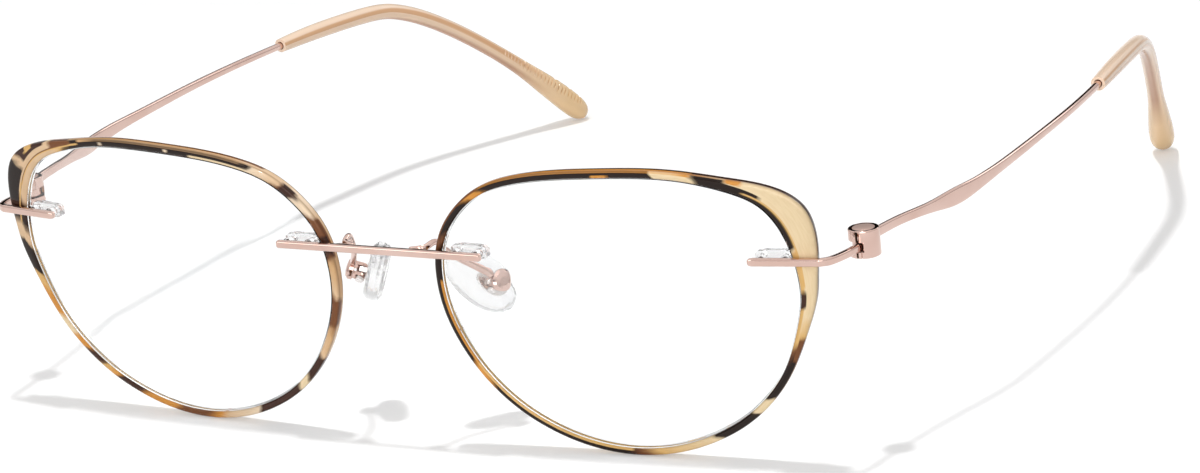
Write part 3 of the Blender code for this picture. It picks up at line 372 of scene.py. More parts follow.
# %% [markdown]
# ## Tortoise acetate
# The rims are cut from a laminated sheet: a dark mottled layer in front, and a golden one
# behind it that shows on the top and on the inner walls. The pattern is read from three values
# at each point: how far round the lens it is, how deep behind the front, and how far from the
# lens edge. The first two come from the place of the point; the last is stored on the mesh.

# %% Group: place on the rim
LENS_MIDDLE = Vector((35.0, -72.17, 20.57)) * MM
# Straight back through a rim, with x counted outwards: it is turned and leans a little
RIM_BACK = Vector((-0.0711, 0.9920, 0.1043))
BASE_CURVE = 185 * MM
RIM_DEPTH = 1.8 * MM


def make_rim_place():
    """Degrees round the lens, from -90 below over the temple side and the top, and depth share."""
    group, given, result = new_group(
        "rim_place", (("Vector", VECTOR, None), ("Side", FLOAT, 1.0)),
        (("Degrees", FLOAT), ("Depth", FLOAT)))
    parts = add_node(group, "ShaderNodeSeparateXYZ", {0: given.outputs["Vector"]})
    x = maths(group, "MULTIPLY", parts.outputs["X"], given.outputs["Side"])
    x = maths(group, "SUBTRACT", x, LENS_MIDDLE.x)
    y = maths(group, "SUBTRACT", parts.outputs["Y"], LENS_MIDDLE.y)
    z = maths(group, "SUBTRACT", parts.outputs["Z"], LENS_MIDDLE.z)
    turns = maths(group, "DIVIDE", maths(group, "ARCTAN2", z, x), math.tau)
    turns = maths(group, "FRACT", maths(group, "ADD", turns, 0.25))
    degrees = maths(group, "MULTIPLY_ADD", turns, 360.0, -90.0)
    straight = maths(group, "MULTIPLY", x, RIM_BACK.x)
    straight = maths(group, "MULTIPLY_ADD", y, RIM_BACK.y, straight)
    straight = maths(group, "MULTIPLY_ADD", z, RIM_BACK.z, straight)
    square = maths(group, "MULTIPLY_ADD", x, x, maths(group, "MULTIPLY", z, z))
    curved = maths(group, "DIVIDE", square, 2.0 * BASE_CURVE)
    depth = maths(group, "DIVIDE", maths(group, "SUBTRACT", straight, curved), RIM_DEPTH)
    group.links.new(degrees, result.inputs["Degrees"])
    group.links.new(depth, result.inputs["Depth"])
    return group


RIM_PLACE = make_rim_place()
print("group", RIM_PLACE.name)

# %% [markdown]
# Mottled acetate is pressed from chips of differing colour, so its patches have firm edges that
# lean a little. A list of chips for each layer gives (degrees round the lens, colour). A colour
# ramp holds at most 32 stops, so the front of the right rim has two lists. A spot lies only
# along one edge. Its numbers are the first and last degrees, the nearest and farthest mm from
# the lens, the shallowest and deepest share of the rim's depth, and the colour.

# %% Tortoise in two layers
BLACK = (0.010, 0.004, 0.002)
UMBER = (0.048, 0.016, 0.008)
BROWN = (0.19, 0.068, 0.022)
AMBER = (0.70, 0.30, 0.05)
TAN = (0.66, 0.40, 0.19)
GOLD = (0.78, 0.48, 0.17)
HONEY = (0.87, 0.69, 0.43)
BEIGE = (0.78, 0.55, 0.34)
CREAM = (0.90, 0.72, 0.52)
RAG_DEGREES = 5.0
LEAN_DEGREES = 3.0
LEAN_WIDTH = 1.1

FRONT_LEFT = ((0, HONEY), (46, HONEY), (47, BLACK), (56, BLACK), (57, HONEY), (69, HONEY),
              (70, BLACK), (136, BLACK), (138, AMBER), (142, AMBER), (144, BLACK), (156, BLACK),
              (160, BROWN), (163, BLACK), (197, BLACK), (201, AMBER), (206, AMBER), (209, BLACK),
              (264, BLACK), (271, BROWN), (278, GOLD), (302, HONEY), (303, BLACK), (322, BLACK),
              (323, HONEY), (329, HONEY), (330, BLACK), (345, BLACK), (350, BROWN), (354, GOLD),
              (360, HONEY))
BACK_LEFT = ((0, HONEY), (48, HONEY), (56, AMBER), (130, AMBER), (137, GOLD), (143, BROWN),
             (158, BROWN), (165, GOLD), (270, GOLD), (302, HONEY), (304, BROWN), (321, BROWN),
             (323, HONEY), (329, HONEY), (331, AMBER), (345, AMBER), (352, GOLD), (360, HONEY))
SPOTS_LEFT = (
    (58, 137, 1.08, 9.0, -1.0, 3.0, AMBER), (45, 58, 1.45, 1.75, -1.0, 0.4, AMBER),
    (137, 160, 1.0, 9.0, -1.0, 3.0, BROWN),
    (172, 200, 0.0, 0.35, -1.0, 0.5, AMBER), (200, 266, 0.0, 0.36, -1.0, 0.5, GOLD),
    (38, 50, 0.3, 1.2, -1.0, 0.4, BLACK), (22, 48, 0.0, 0.45, -1.0, 0.4, BLACK),
    (10, 42, 0.45, 0.66, -1.0, 0.4, GOLD), (-6, 21, 0.0, 0.45, -1.0, 0.4, GOLD),
    (3.5, 8.5, 0.0, 0.75, -1.0, 0.4, UMBER),
    (87, 93, 0.0, 0.55, -1.0, 0.4, AMBER), (-14, -5, 0.8, 1.6, -1.0, 0.9, BROWN),
    (-12, 58, 0.8, 9.0, 0.30, 3.0, UMBER), (58, 165, 0.8, 9.0, 0.42, 3.0, UMBER),
)
FRONT_RIGHT = ((0, BLACK), (7, BLACK), (8.5, BEIGE), (12, BEIGE), (13, BLACK), (20, UMBER),
               (22, BEIGE), (46, BEIGE), (49, GOLD), (51, BLACK), (129, BLACK), (131, CREAM),
               (139, BEIGE), (141, BROWN), (146, UMBER), (148, CREAM), (152, CREAM), (155, BROWN),
               (165, UMBER), (169, TAN), (179, BEIGE), (181, BROWN), (188, BROWN), (192, TAN),
               (202, BEIGE), (203, UMBER))
RIGHT_LOW = ((204, UMBER), (212, UMBER), (213, HONEY), (218, HONEY), (220, UMBER), (240, UMBER),
             (241, CREAM), (256, BEIGE), (262, AMBER), (268, BROWN), (280, BROWN), (284, AMBER),
             (297, AMBER), (301, UMBER), (311, UMBER), (313, AMBER), (319, GOLD), (321, UMBER),
             (327, UMBER), (329, AMBER), (334, AMBER), (336, HONEY), (342, HONEY), (344, AMBER),
             (351, AMBER), (353, GOLD), (357, GOLD), (358.5, BLACK), (360, BLACK))
BACK_RIGHT = ((0, GOLD), (12, GOLD), (14, BROWN), (20, BROWN), (23, HONEY), (48, HONEY),
              (56, TAN), (125, TAN), (131, BEIGE), (140, BEIGE), (150, CREAM), (154, BEIGE),
              (166, TAN), (190, TAN), (200, BEIGE), (206, BROWN), (212, BROWN), (214, HONEY),
              (220, BROWN), (238, BROWN), (242, CREAM), (262, BEIGE), (300, CREAM), (360, GOLD))
SPOTS_RIGHT = (
    (20, 31, 1.45, 9.0, -1.0, 3.0, BLACK), (33, 50, 1.9, 9.0, -1.0, 3.0, UMBER),
    (36, 43, 2.5, 2.9, -1.0, 0.5, GOLD), (45, 53, 1.0, 1.7, -1.0, 3.0, BROWN),
    (26, 55, 0.66, 0.86, -1.0, 0.4, GOLD), (24, 52, 0.86, 0.94, -1.0, 0.4, BROWN),
    (14, 27, 0.95, 1.15, -1.0, 0.4, GOLD), (56, 128, 1.10, 9.0, -1.0, 3.0, TAN),
    (108, 130, 0.0, 0.50, -1.0, 0.4, HONEY), (96, 98, 0.45, 0.8, -1.0, 0.3, CREAM),
    (65.5, 66.5, 0.4, 0.8, -1.0, 0.3, CREAM), (141.5, 147, -1.0, 9.0, -1.0, 0.45, UMBER),
    (155, 168, -1.0, 9.0, -1.0, 0.50, BROWN), (161, 167, -1.0, 9.0, -1.0, 0.30, UMBER),
    (181, 190, -1.0, 9.0, -1.0, 0.55, BROWN), (203.5, 211, -1.0, 9.0, -1.0, 0.8, UMBER),
    (219.5, 239, -1.0, 9.0, -1.0, 0.8, UMBER), (52, 135, 0.8, 9.0, 0.48, 3.0, BROWN),
    (135, 205, 0.8, 9.0, 0.80, 3.0, BROWN),
)


def chip_stops(chips):
    """Ramp stops from (degrees where it starts, colour) chips."""
    return [(start / 360.0, colour) for start, colour in chips]


def window(tree, value, first, last, soft):
    """1 between two values, falling to 0 over a soft edge on each side."""
    rise = add_node(tree, "ShaderNodeMapRange",
                    {"Value": value, "From Min": first - soft, "From Max": first + soft})
    fall = add_node(tree, "ShaderNodeMapRange",
                    {"Value": value, "From Min": last - soft, "From Max": last + soft,
                     "To Min": 1.0, "To Max": 0.0})
    return maths(tree, "MULTIPLY", rise.outputs["Result"], fall.outputs["Result"])


def shaded(tree, colour, shade):
    """A colour multiplied by a grey."""
    made = add_node(tree, "ShaderNodeMix", data_type="RGBA", blend_type="MULTIPLY")
    made.inputs[0].default_value = 1.0
    tree.links.new(colour, made.inputs[6])
    tree.links.new(shade, made.inputs[7])
    return made.outputs[2]


def make_tortoise(name, side, front, front_low, back, spots):
    """Laminated tortoise acetate for one rim."""
    material, tree, shader = new_material(name)
    place = object_place(tree)
    where = add_node(tree, "ShaderNodeGroup", {"Vector": place, "Side": side},
                     node_tree=RIM_PLACE)
    depth = where.outputs["Depth"]
    from_lens = add_node(tree, "ShaderNodeAttribute", attribute_name="from_lens").outputs["Fac"]
    rag = add_node(tree, "ShaderNodeTexNoise", {"Vector": place, "Scale": 420.0, "Detail": 3.0})
    ragged = maths(tree, "SUBTRACT", rag.outputs["Fac"], 0.5)
    degrees = maths(tree, "MULTIPLY_ADD", ragged, RAG_DEGREES, where.outputs["Degrees"])
    lean = maths(tree, "SUBTRACT", maths(tree, "MINIMUM", from_lens, LEAN_WIDTH), LEAN_WIDTH / 2.0)
    leaning = maths(tree, "MULTIPLY_ADD", lean, -LEAN_DEGREES, degrees)
    around = maths(tree, "FRACT", maths(tree, "DIVIDE", leaning, 360.0))
    front_colour = ramp(tree, around, chip_stops(front))
    if front_low:
        low_colour = ramp(tree, around, chip_stops(front_low))
        low = maths(tree, "GREATER_THAN", around, front_low[0][0] / 360.0)
        front_colour = blend(tree, low, front_colour, low_colour)
    upright = maths(tree, "FRACT", maths(tree, "DIVIDE", degrees, 360.0))
    back_colour = ramp(tree, upright, chip_stops(back))
    layer = add_node(tree, "ShaderNodeMapRange",
                     {"Value": maths(tree, "MULTIPLY_ADD", ragged, 0.08, depth),
                      "From Min": 0.10, "From Max": 0.20})
    colour = blend(tree, layer.outputs["Result"], front_colour, back_colour)
    for first, last, near, far, shallow, deep, spot_colour in spots:
        inside = window(tree, degrees, first, last, 0.7)
        inside = maths(tree, "MULTIPLY", inside, window(tree, from_lens, near - 0.1, far, 0.05))
        inside = maths(tree, "MULTIPLY", inside, window(tree, depth, shallow, deep, 0.06))
        colour = blend(tree, inside, colour, spot_colour)
    # Painted shade: the walls are darkened in a band just behind the layer join and towards the back edge.
    edges = ramp(tree, depth, ((0.0, (1.0, 1.0, 1.0)), (0.22, (0.62, 0.58, 0.55)),
                               (0.36, (1.0, 1.0, 1.0)), (0.70, (1.0, 1.0, 1.0)),
                               (0.92, (0.40, 0.34, 0.30)), (1.0, (0.5, 0.45, 0.4))))
    colour = shaded(tree, colour, edges)
    along = add_node(tree, "ShaderNodeCombineXYZ",
                     {"X": maths(tree, "MULTIPLY", where.outputs["Degrees"], 0.22),
                      "Y": maths(tree, "MULTIPLY", depth, 5.0),
                      "Z": maths(tree, "MULTIPLY", from_lens, 3.5)})
    streak = add_node(tree, "ShaderNodeTexNoise",
                      {"Vector": along.outputs[0], "Scale": 1.0, "Detail": 2.0})
    streaks = ramp(tree, streak.outputs["Fac"],
                   ((0.35, (0.95, 0.93, 0.90)), (0.60, (1.0, 1.0, 1.0))))
    tree.links.new(shaded(tree, colour, streaks), shader.inputs["Base Color"])
    shader.inputs["Transmission Weight"].default_value = 0.12
    shader.inputs["IOR"].default_value = 1.45
    shader.inputs["Specular IOR Level"].default_value = 0.3
    shader.inputs["Specular Tint"].default_value = (1.0, 0.90, 0.86, 1.0)
    give_surface(tree, shader, place, Scale=1200.0, Middle=0.05, Spread=0.04, Bump=0.03)
    return material


TORTOISE = {
    "left": make_tortoise("tortoise_left", 1.0, FRONT_LEFT, None, BACK_LEFT, SPOTS_LEFT),
    "right": make_tortoise("tortoise_right", -1.0, FRONT_RIGHT, RIGHT_LOW, BACK_RIGHT, SPOTS_RIGHT),
}
print("tortoise", [material.name for material in TORTOISE.values()])

# %% [markdown]
# ## Peach tips
# The tips are sleeves of peach acetate, clear enough to show the metal core as darker lines. Here
# those lines are a colour pattern that follows how far the surface faces up, not the core itself.
# The same pattern also holds painted light: paler bluish bands beside the core line, and painted
# shade where the surface faces down.

# %% Peach acetate
TIP_SIDE = Vector((0.97, 0.24, 0.0))
CORE_END_Y = 64.0 * MM


def make_peach():
    """Translucent peach acetate round a metal core, going honey at the paddle."""
    material, tree, shader = new_material("peach_acetate")
    place = object_place(tree)
    back = add_node(tree, "ShaderNodeSeparateXYZ", {0: place}).outputs["Y"]
    cloud = add_node(tree, "ShaderNodeTexNoise", {"Vector": place, "Scale": 70.0, "Detail": 2.0,
                                                  "Distortion": 0.6})
    back_share = add_node(tree, "ShaderNodeMapRange",
                          {"Value": back, "From Min": 50 * MM, "From Max": 70 * MM})
    warm = maths(tree, "MULTIPLY_ADD", maths(tree, "SUBTRACT", cloud.outputs["Fac"], 0.5), 0.5,
                 back_share.outputs["Result"])
    body = ramp(tree, warm, ((0.0, (0.93, 0.69, 0.50)), (0.5, (0.92, 0.66, 0.44)),
                             (1.0, (0.88, 0.62, 0.34))))
    facing = add_node(tree, "ShaderNodeTexCoord").outputs["Normal"]
    aside = add_node(tree, "ShaderNodeVectorMath", {0: facing, 1: TIP_SIDE},
                     operation="DOT_PRODUCT").outputs["Value"]
    upright = maths(tree, "SIGN", add_node(tree, "ShaderNodeSeparateXYZ", {0: facing}).outputs["Z"])
    upward = maths(tree, "SUBTRACT", 1.0, maths(tree, "MULTIPLY", aside, aside))
    upward = maths(tree, "SQRT", upward)
    across = maths(tree, "MULTIPLY_ADD", maths(tree, "MULTIPLY", upward, upright), 0.5, 0.5)
    # Painted light and shade: stops above 1 paint paler bluish bands beside the amber core line, and the first
    # stop darkens faces that point down.
    core = ramp(tree, across, ((0.02, (0.62, 0.50, 0.46)), (0.12, (1.0, 1.0, 1.0)),
                               (0.32, (1.0, 1.0, 1.0)), (0.38, (0.86, 0.74, 0.66)),
                               (0.46, (0.88, 0.76, 0.68)), (0.51, (1.06, 1.14, 1.20)),
                               (0.61, (1.06, 1.14, 1.20)), (0.68, (0.80, 0.63, 0.47)),
                               (0.75, (0.80, 0.63, 0.47)), (0.82, (1.03, 1.06, 1.10))))
    inside = add_node(tree, "ShaderNodeMapRange",
                      {"Value": back, "From Min": CORE_END_Y - 4 * MM,
                       "From Max": CORE_END_Y + 2 * MM, "To Min": 1.0, "To Max": 0.0})
    core_lines_and_painted_light = blend(tree, inside.outputs["Result"], (1.0, 1.0, 1.0), core)
    tree.links.new(shaded(tree, body, core_lines_and_painted_light), shader.inputs["Base Color"])
    shader.inputs["Transmission Weight"].default_value = 0.15
    shader.inputs["IOR"].default_value = 1.47
    give_surface(tree, shader, place, Scale=800.0, Middle=0.13, Spread=0.05, Bump=0.04)
    return material


PEACH = make_peach()
print("tips", PEACH.name)

# %% [markdown]
# ## Helpers for meshes
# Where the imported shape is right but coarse, the piece starts as a copy of its mesh. The copy's
# loose triangles are merged, turned back into four-sided faces and then smoothed with a
# Subdivision Surface. Edges that have to stay crisp are creased first.

# %% Copy, merge, crease and smooth
def only(piece):
    """Select one object alone."""
    bpy.ops.object.select_all(action="DESELECT")
    piece.select_set(True)
    bpy.context.view_layer.objects.active = piece


def merged_copy(node, name):
    """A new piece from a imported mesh, its loose triangles merged into faces."""
    piece = bpy.data.objects.new(name, frame["nodes"][node].data.copy())
    bpy.context.scene.collection.objects.link(piece)
    only(piece)
    bpy.ops.mesh.customdata_custom_splitnormals_clear()
    piece.data.materials.clear()
    bpy.ops.object.mode_set(mode="EDIT")
    bpy.ops.mesh.select_all(action="SELECT")
    bpy.ops.mesh.remove_doubles(threshold=0.001 * MM)
    bpy.ops.mesh.tris_convert_to_quads(face_threshold=math.radians(45.0),
                                       shape_threshold=math.radians(180.0))
    bpy.ops.object.mode_set(mode="OBJECT")
    return piece


def crease_sharp(piece, degrees):
    """Crease the edges that are sharper than an angle."""
    only(piece)
    bpy.ops.object.mode_set(mode="EDIT")
    bpy.ops.mesh.select_mode(type="EDGE")
    bpy.ops.mesh.select_all(action="DESELECT")
    bpy.ops.mesh.edges_select_sharp(sharpness=math.radians(degrees))
    bpy.ops.transform.edge_crease(value=1.0)
    bpy.ops.object.mode_set(mode="OBJECT")


def smooth_piece(piece, levels, degrees=40.0):
    """Subdivide a piece and shade it smooth, with its sharp edges kept."""
    only(piece)
    bpy.ops.object.modifier_add(type="SUBSURF")
    made = piece.modifiers[-1]
    made.levels = levels
    made.render_levels = levels
    bpy.ops.object.modifier_apply(modifier=made.name)
    bpy.ops.object.shade_smooth_by_angle(angle=math.radians(degrees))


def finish_piece(piece, material, node):
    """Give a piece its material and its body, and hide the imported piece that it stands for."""
    piece.data.materials.clear()
    piece.data.materials.append(material)
    for body, members in frame["record"]["behaviour"]["bodies"].items():
        if node in members:
            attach(piece, body)
    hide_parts(node)
    print(piece.name, len(piece.data.polygons), "faces")


print("mesh helpers ready")

# %% [markdown]
# ## Rims
# A rim is milled from the sheet and polished, so its edges are round and its groove is crisp.
# Only edges sharper than 60 degrees are creased. Each point stores how far it stands from the
# lens.

# %% Rims
def distance_from_lens(piece, lens_node):
    """Store on each point its distance from the lens in mm, for the tortoise pattern."""
    lens = frame["nodes"][lens_node].data
    tree = BVHTree.FromPolygons([vertex.co for vertex in lens.vertices],
                                [polygon.vertices for polygon in lens.polygons])
    stored = piece.data.attributes.new("from_lens", "FLOAT", "POINT")
    for vertex in piece.data.vertices:
        stored.data[vertex.index].value = tree.find_nearest(vertex.co)[3] / MM


for side in SIDES:
    rim = merged_copy(side + "_rim", side + "_rim_polished")
    distance_from_lens(rim, side + "_lens")
    crease_sharp(rim, 60.0)
    smooth_piece(rim, 2)
    finish_piece(rim, TORTOISE[side], side + "_rim")

# %% [markdown]
# ## Lenses
# Demonstration lenses are cut with a bevel that sits in the rim's groove. All their edges stay
# crisp, while both faces are smoothed.

# %% Lenses
for side in SIDES:
    lens = merged_copy(side + "_lens", side + "_lens_clear")
    crease_sharp(lens, 35.0)
    smooth_piece(lens, 2)
    finish_piece(lens, LENS_PLASTIC, side + "_lens")

# %% [markdown]
# ## Helpers for new pieces
# Some pieces are better built again than copied. Each starts from a primitive at its own size,
# is cut with boolean tools, and is softened. A piece for the left side is made once; the right
# one is a mirrored copy with its own mesh.

# %% Cut, remesh, place and mirror
def cut(piece, tools):
    """Cut tool shapes from a piece, then remove them."""
    for tool in tools:
        only(piece)
        bpy.ops.object.modifier_add(type="BOOLEAN")
        made = piece.modifiers[-1]
        made.operation = "DIFFERENCE"
        made.solver = "EXACT"
        made.object = tool
        bpy.ops.object.modifier_apply(modifier=made.name)
        bpy.data.objects.remove(tool, do_unlink=True)


def join(pieces, name):
    """Make several objects one."""
    only(pieces[0])
    for piece in pieces:
        piece.select_set(True)
    bpy.ops.object.join()
    pieces[0].name = name
    return pieces[0]


def soften(piece, voxel, rounds):
    """Remesh a piece evenly and smooth it, so that joins become fillets and edges round off."""
    only(piece)
    bpy.ops.object.modifier_add(type="REMESH")
    piece.modifiers[-1].mode = "VOXEL"
    piece.modifiers[-1].voxel_size = voxel
    bpy.ops.object.modifier_apply(modifier=piece.modifiers[-1].name)
    bpy.ops.object.modifier_add(type="SMOOTH")
    piece.modifiers[-1].factor = 0.5
    piece.modifiers[-1].iterations = rounds
    bpy.ops.object.modifier_apply(modifier=piece.modifiers[-1].name)
    bpy.ops.object.shade_smooth()


def round_edges(piece, width, segments, degrees=40.0):
    """Bevel the sharp edges of a piece with an applied modifier, then shade it smooth."""
    only(piece)
    bpy.ops.object.modifier_add(type="BEVEL")
    made = piece.modifiers[-1]
    made.width = width
    made.segments = segments
    made.angle_limit = math.radians(degrees)
    bpy.ops.object.modifier_apply(modifier=made.name)
    bpy.ops.object.shade_smooth_by_angle(angle=math.radians(degrees))


def settle_mesh(piece):
    """Put a piece's place, turn and size into its mesh."""
    only(piece)
    bpy.ops.object.transform_apply(location=True, rotation=True, scale=True)


def mirrored(piece, name):
    """The same piece for the wearer's right, with its own mesh and its faces outwards."""
    only(piece)
    bpy.ops.object.duplicate()
    other = bpy.context.object
    other.name = name
    other.scale.x = -1.0
    settle_mesh(other)
    bpy.ops.object.mode_set(mode="EDIT")
    bpy.ops.mesh.select_all(action="SELECT")
    bpy.ops.mesh.normals_make_consistent(inside=False)
    bpy.ops.object.mode_set(mode="OBJECT")
    return other


def finish_pair(piece, material, node):
    """Finish a left piece and its mirrored copy for the right."""
    other = mirrored(piece, piece.name.replace("left_", "right_"))
    finish_piece(piece, material, "left_" + node)
    finish_piece(other, material, "right_" + node)


def upright_drum(place, radius, low, high, sides=64):
    """An upright round drum between two heights."""
    bpy.ops.mesh.primitive_cylinder_add(vertices=sides, radius=radius, depth=high - low,
                                        location=(place.x, place.y, (low + high) / 2.0))
    drum = bpy.context.object
    settle_mesh(drum)
    return drum


print("piece helpers ready")

# %% [markdown]
# ## Hinge barrels
# The hinge is a turned barrel with a slot milled over a little more than a third of its round.
# The flat eye of the endpiece sits in the slot, and one screw passes through all of it. The
# barrel is a drum with rounded rims; a wedge, the eye's room, the bore, the screw's seat and the
# seam of the lower lug are cut out of it.

# %% Hinge barrels
HINGE = next(Vector(joint["pos_m"]) for joint in frame["joints"]
             if joint["name"] == "left_temple_fold")
barrel_low, barrel_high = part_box("left_hinge_barrel")
BARREL_RADIUS = (barrel_high.x - barrel_low.x) / 2.0
EYE_ROOM = 1.77 * MM
SLOT_HALF = 0.67 * MM
HEAD_ROOM = 1.58 * MM
HEAD_RADIUS = 1.5 * MM
HEAD_DEPTH = 0.56 * MM
BORE_RADIUS = 0.76 * MM
OVERRUN = 0.5 * MM
SLOT_ENDS = ((291.0, 1.0), (159.0, -1.0))
SEAM_DEGREES = 283.0
BARREL_EDGE = 0.16 * MM


def slot_wedge():
    """The part of a drum between the two ends of the endpiece's sweep."""
    wedge = upright_drum(HINGE, BARREL_RADIUS * 1.5, HINGE.z - SLOT_HALF, HINGE.z + SLOT_HALF)
    bpy.ops.object.mode_set(mode="EDIT")
    for degrees, sense in SLOT_ENDS:
        angle = math.radians(degrees)
        bpy.ops.mesh.select_all(action="SELECT")
        bpy.ops.mesh.bisect(plane_co=HINGE, use_fill=True, clear_outer=True,
                            plane_no=(-math.sin(angle) * sense, math.cos(angle) * sense, 0.0))
    bpy.ops.object.mode_set(mode="OBJECT")
    return wedge


def seam_blade():
    """Thin upright blade that cuts the seam of the lower lug."""
    angle = math.radians(SEAM_DEGREES)
    rim = HINGE + Vector((math.cos(angle), math.sin(angle), 0.0)) * BARREL_RADIUS
    bpy.ops.mesh.primitive_cube_add(size=1.0, location=(rim.x, rim.y, barrel_low.z),
                                    rotation=(0.0, 0.0, angle))
    blade = bpy.context.object
    blade.scale = (0.7 * MM, 0.16 * MM, (HINGE.z - barrel_low.z) * 2.0)
    settle_mesh(blade)
    return blade


barrel = upright_drum(HINGE, BARREL_RADIUS, barrel_low.z, barrel_high.z, 96)
barrel.name = "left_barrel_turned"
round_edges(barrel, BARREL_EDGE, 4)
cut(barrel, (
    upright_drum(HINGE, EYE_ROOM, HINGE.z - SLOT_HALF, HINGE.z + SLOT_HALF),
    slot_wedge(),
    upright_drum(HINGE, BORE_RADIUS, barrel_low.z - OVERRUN, barrel_high.z + OVERRUN),
    upright_drum(HINGE, HEAD_ROOM, barrel_high.z - HEAD_DEPTH, barrel_high.z + OVERRUN),
    seam_blade(),
))
bpy.ops.object.shade_smooth_by_angle(angle=math.radians(30.0))
finish_pair(barrel, ROSE_GOLD, "hinge_barrel")

# %% [markdown]
# ## Hinge screws
# The screw's head is plain and lies flush in its seat, so all one sees is a disc with a fine
# dark ring round it. The driver slot is underneath.

# %% Hinge screws
SCREW_RADIUS = 0.7 * MM
head_bottom = barrel_high.z - HEAD_DEPTH
screw = upright_drum(HINGE, SCREW_RADIUS, barrel_low.z + 0.03 * MM, head_bottom + 0.08 * MM, 32)
head = upright_drum(HINGE, HEAD_RADIUS, head_bottom + 0.06 * MM, barrel_high.z)
bpy.ops.mesh.primitive_cube_add(size=1.0, location=(HINGE.x, HINGE.y, barrel_low.z))
driver = bpy.context.object
driver.scale = (3.0 * MM, 0.3 * MM, 0.6 * MM)
settle_mesh(driver)
cut(screw, (driver,))
screw = join([screw, head], "left_hinge_screw_turned")
round_edges(screw, 0.07 * MM, 3)
finish_pair(screw, ROSE_SATIN, "hinge_screw")

# %% [markdown]
# ## Bridge bar and pad arms
# The bar is one straight wire of rounded square section with four small pins behind it. The two
# pad arms are soldered to its back, and the solder runs into smooth fillets. A new bar, the
# packed pins and the two packed arms are joined here with a wedge of solder at each arm, and
# remeshed finely, which grows those fillets by itself.

# %% Bridge bar with its pad arms
bar_low, bar_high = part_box("bridge_bar")
BAR_DEPTH = 1.0 * MM
BAR_SET_BACK = 0.003 * MM
BAR_EDGE = 0.34 * MM
BAR_VOXEL = 0.06 * MM
bar_middle = Vector((0.0, bar_low.y + BAR_DEPTH / 2.0 + BAR_SET_BACK,
                     (bar_low.z + bar_high.z) / 2.0))
bpy.ops.mesh.primitive_cube_add(size=1.0, location=bar_middle)
bar = bpy.context.object
bar.scale = (bar_high.x - bar_low.x, BAR_DEPTH, bar_high.z - bar_low.z)
settle_mesh(bar)
round_edges(bar, BAR_EDGE, 5)


def soldered_root(sign):
    """Wedge of solder between the bar's back and the start of a pad arm."""
    arm_low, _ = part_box("left_pad_arm")
    start = Vector((sign * (arm_low.x + 1.6 * MM), bar_middle.y + 0.75 * MM, bar_middle.z))
    bpy.ops.mesh.primitive_uv_sphere_add(segments=24, ring_count=12, radius=1.0, location=start)
    root = bpy.context.object
    root.scale = (1.9 * MM, 0.5 * MM, 0.42 * MM)
    root.rotation_euler.z = sign * math.radians(9.0)
    settle_mesh(root)
    return root


def bar_pins():
    """The four pins of the bar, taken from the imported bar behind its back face."""
    pins = merged_copy("bridge_bar", "bridge_pins")
    bpy.ops.object.mode_set(mode="EDIT")
    bpy.ops.mesh.select_all(action="SELECT")
    bpy.ops.mesh.bisect(plane_co=bar_middle, plane_no=(0.0, 1.0, 0.0), use_fill=True,
                        clear_inner=True)
    bpy.ops.object.mode_set(mode="OBJECT")
    return pins


arms = [merged_copy(side + "_pad_arm", side + "_arm_part") for side in SIDES]
for arm in arms:
    smooth_piece(arm, 2)
parts = [bar] + arms + [bar_pins()] + [soldered_root(sign) for sign in (1.0, -1.0)]
bar = join(parts, "bridge_bar_with_arms")
soften(bar, BAR_VOXEL, 4)
finish_piece(bar, ROSE_GOLD, "bridge_bar")
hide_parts("bridge_bar", "left_pad_arm", "right_pad_arm")

# %% [markdown]
# ## Endpieces
# Each endpiece is the same wire, bent back round the rim and flattened into the hinge's eye.
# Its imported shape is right, and a fine remesh gives it the rounded edges of plated metal.

# %% Endpieces
for side in SIDES:
    endpiece = merged_copy(side + "_endpiece", side + "_endpiece_polished")
    soften(endpiece, 0.055 * MM, 4)
    finish_piece(endpiece, ROSE_GOLD, side + "_endpiece")

# %% [markdown]
# ## Double bushings
# A double bushing is one small plate of clear plastic with two hollow plugs. The plugs line the
# holes of the lens, and the pins of the bar are pressed into them.

# %% Double bushings
for kind in ("bridge_bushing", "temple_bushing"):
    bushing = merged_copy("left_" + kind, "left_" + kind + "_moulded")
    soften(bushing, 0.05 * MM, 3)
    finish_pair(bushing, SOFT_PLASTIC, kind)

# %% [markdown]
# ## Nose pads
# A pad is a pillow of soft clear plastic, with a small steel plate set in its back. The plate's
# lug stands between two ears of a stirrup, and a cross screw goes through all three, so the pad
# can rock.

# %% Nose pads, inserts, stirrups and screws
for node, material, slot, voxel, rounds in (
        ("nose_pad", SOFT_PLASTIC, "clear_silicone", 0.09, 12),
        ("pad_insert", STEEL, "steel", 0.05, 2),
        ("pad_stirrup", ROSE_GOLD, "rose_gold", 0.045, 2),
        ("pad_screw", STEEL, "steel", 0.035, 2)):
    piece = merged_copy("left_" + node, "left_" + node + "_formed")
    soften(piece, voxel * MM, rounds)
    finish_pair(piece, material, node)

# %% [markdown]
# ## Temples
# A temple starts as a flat strip at the hinge, widens into a blade that lets it flex, and then
# runs back as round wire into the tip. Its packed rings are smoothed with a subdivision.

# %% Temple arms
for side in SIDES:
    temple = merged_copy(side + "_temple_arm", side + "_temple_drawn")
    crease_sharp(temple, 60.0)
    smooth_piece(temple, 2)
    finish_piece(temple, ROSE_GOLD, side + "_temple_arm")

# %% [markdown]
# ## Tips
# The tip ends in a paddle. Fine ribs on its inner face keep it from slipping on the ear, and
# shallow notches run along its upper edge. Each rib is the cut of one small rod, laid across the
# face at a point found on the surface.

# %% Tips
RIB_COUNT = 24
RIB_RADIUS = 0.15 * MM
RIB_DEPTH = 0.27 * MM
RIB_HEIGHT = 0.8 * MM
RIB_LENGTH = 3.2 * MM
RIB_FIRST, RIB_LAST = 0.745, 0.955
NOTCHES = (0.885, 0.925, 0.960)
NOTCH_RADIUS = 0.9 * MM
NOTCH_DEPTH = 0.55 * MM
NOTCH_LEAN = 0.12
NOTCH_LENGTH = 6.0 * MM
SECTION_REACH = 0.5 * MM
SECTION_STEP = 0.6 * MM
PROBE = 8.0


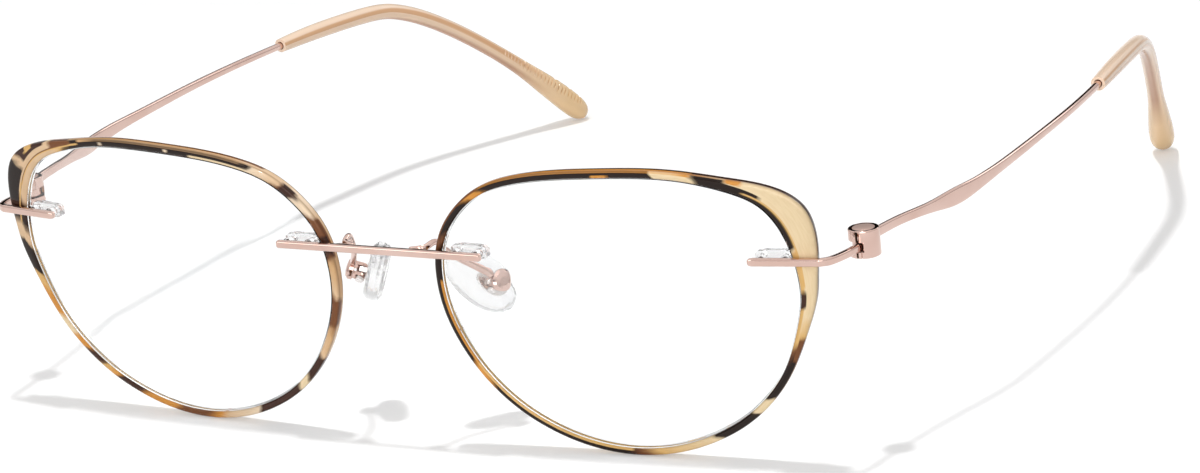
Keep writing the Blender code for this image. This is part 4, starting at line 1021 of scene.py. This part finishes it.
def section_middle(points, y):
    """Middle of the points of a tip near one depth."""
    near = [point for point in points if abs(point.y - y) < SECTION_REACH]
    low = [min(point[axis] for point in near) for axis in range(3)]
    high = [max(point[axis] for point in near) for axis in range(3)]
    return Vector(((low[0] + high[0]) / 2.0, y, (low[2] + high[2]) / 2.0))


def rod(middle, axis, radius, length):
    """A thin rod about a point, along an axis."""
    turned = axis.to_track_quat("Z", "Y").to_euler()
    bpy.ops.mesh.primitive_cylinder_add(vertices=16, radius=radius, depth=length,
                                        location=middle, rotation=turned)
    made = bpy.context.object
    settle_mesh(made)
    return made


def grip_tools(tip):
    """Rods that cut the ribs of the inner face and the notches of the upper edge."""
    points = [vertex.co.copy() for vertex in tip.data.vertices]
    tree = BVHTree.FromPolygons(points, [polygon.vertices for polygon in tip.data.polygons])
    low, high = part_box("left_temple_tip")
    length = high.y - low.y
    tools = []
    places = [(RIB_FIRST + (RIB_LAST - RIB_FIRST) * index / (RIB_COUNT - 1), False)
              for index in range(RIB_COUNT)]
    for share, notch in places + [(share, True) for share in NOTCHES]:
        y = low.y + length * share
        middle = section_middle(points, y)
        along = section_middle(points, y + SECTION_STEP) - section_middle(points, y - SECTION_STEP)
        along.normalize()
        across = along.cross(Vector((0.0, 0.0, 1.0))).normalized()
        rise = across.cross(along).normalized()
        if notch:
            outward = (rise + across * NOTCH_LEAN).normalized()
            surface = tree.ray_cast(middle + outward * PROBE * MM, -outward)[0]
            centre = surface + outward * (NOTCH_RADIUS - NOTCH_DEPTH)
            tools.append(rod(centre, outward.cross(along), NOTCH_RADIUS, NOTCH_LENGTH))
        else:
            start = middle + rise * RIB_HEIGHT - across * PROBE * MM
            surface, facing = tree.ray_cast(start, across)[:2]
            centre = surface + facing * (RIB_RADIUS - RIB_DEPTH)
            tools.append(rod(centre, facing.cross(along), RIB_RADIUS, RIB_LENGTH))
    return tools


tip = merged_copy("left_temple_tip", "left_tip_moulded")
crease_sharp(tip, 60.0)
smooth_piece(tip, 3)
cut(tip, grip_tools(tip))
bpy.ops.object.shade_smooth_by_angle(angle=math.radians(45.0))
finish_pair(tip, PEACH, "temple_tip")
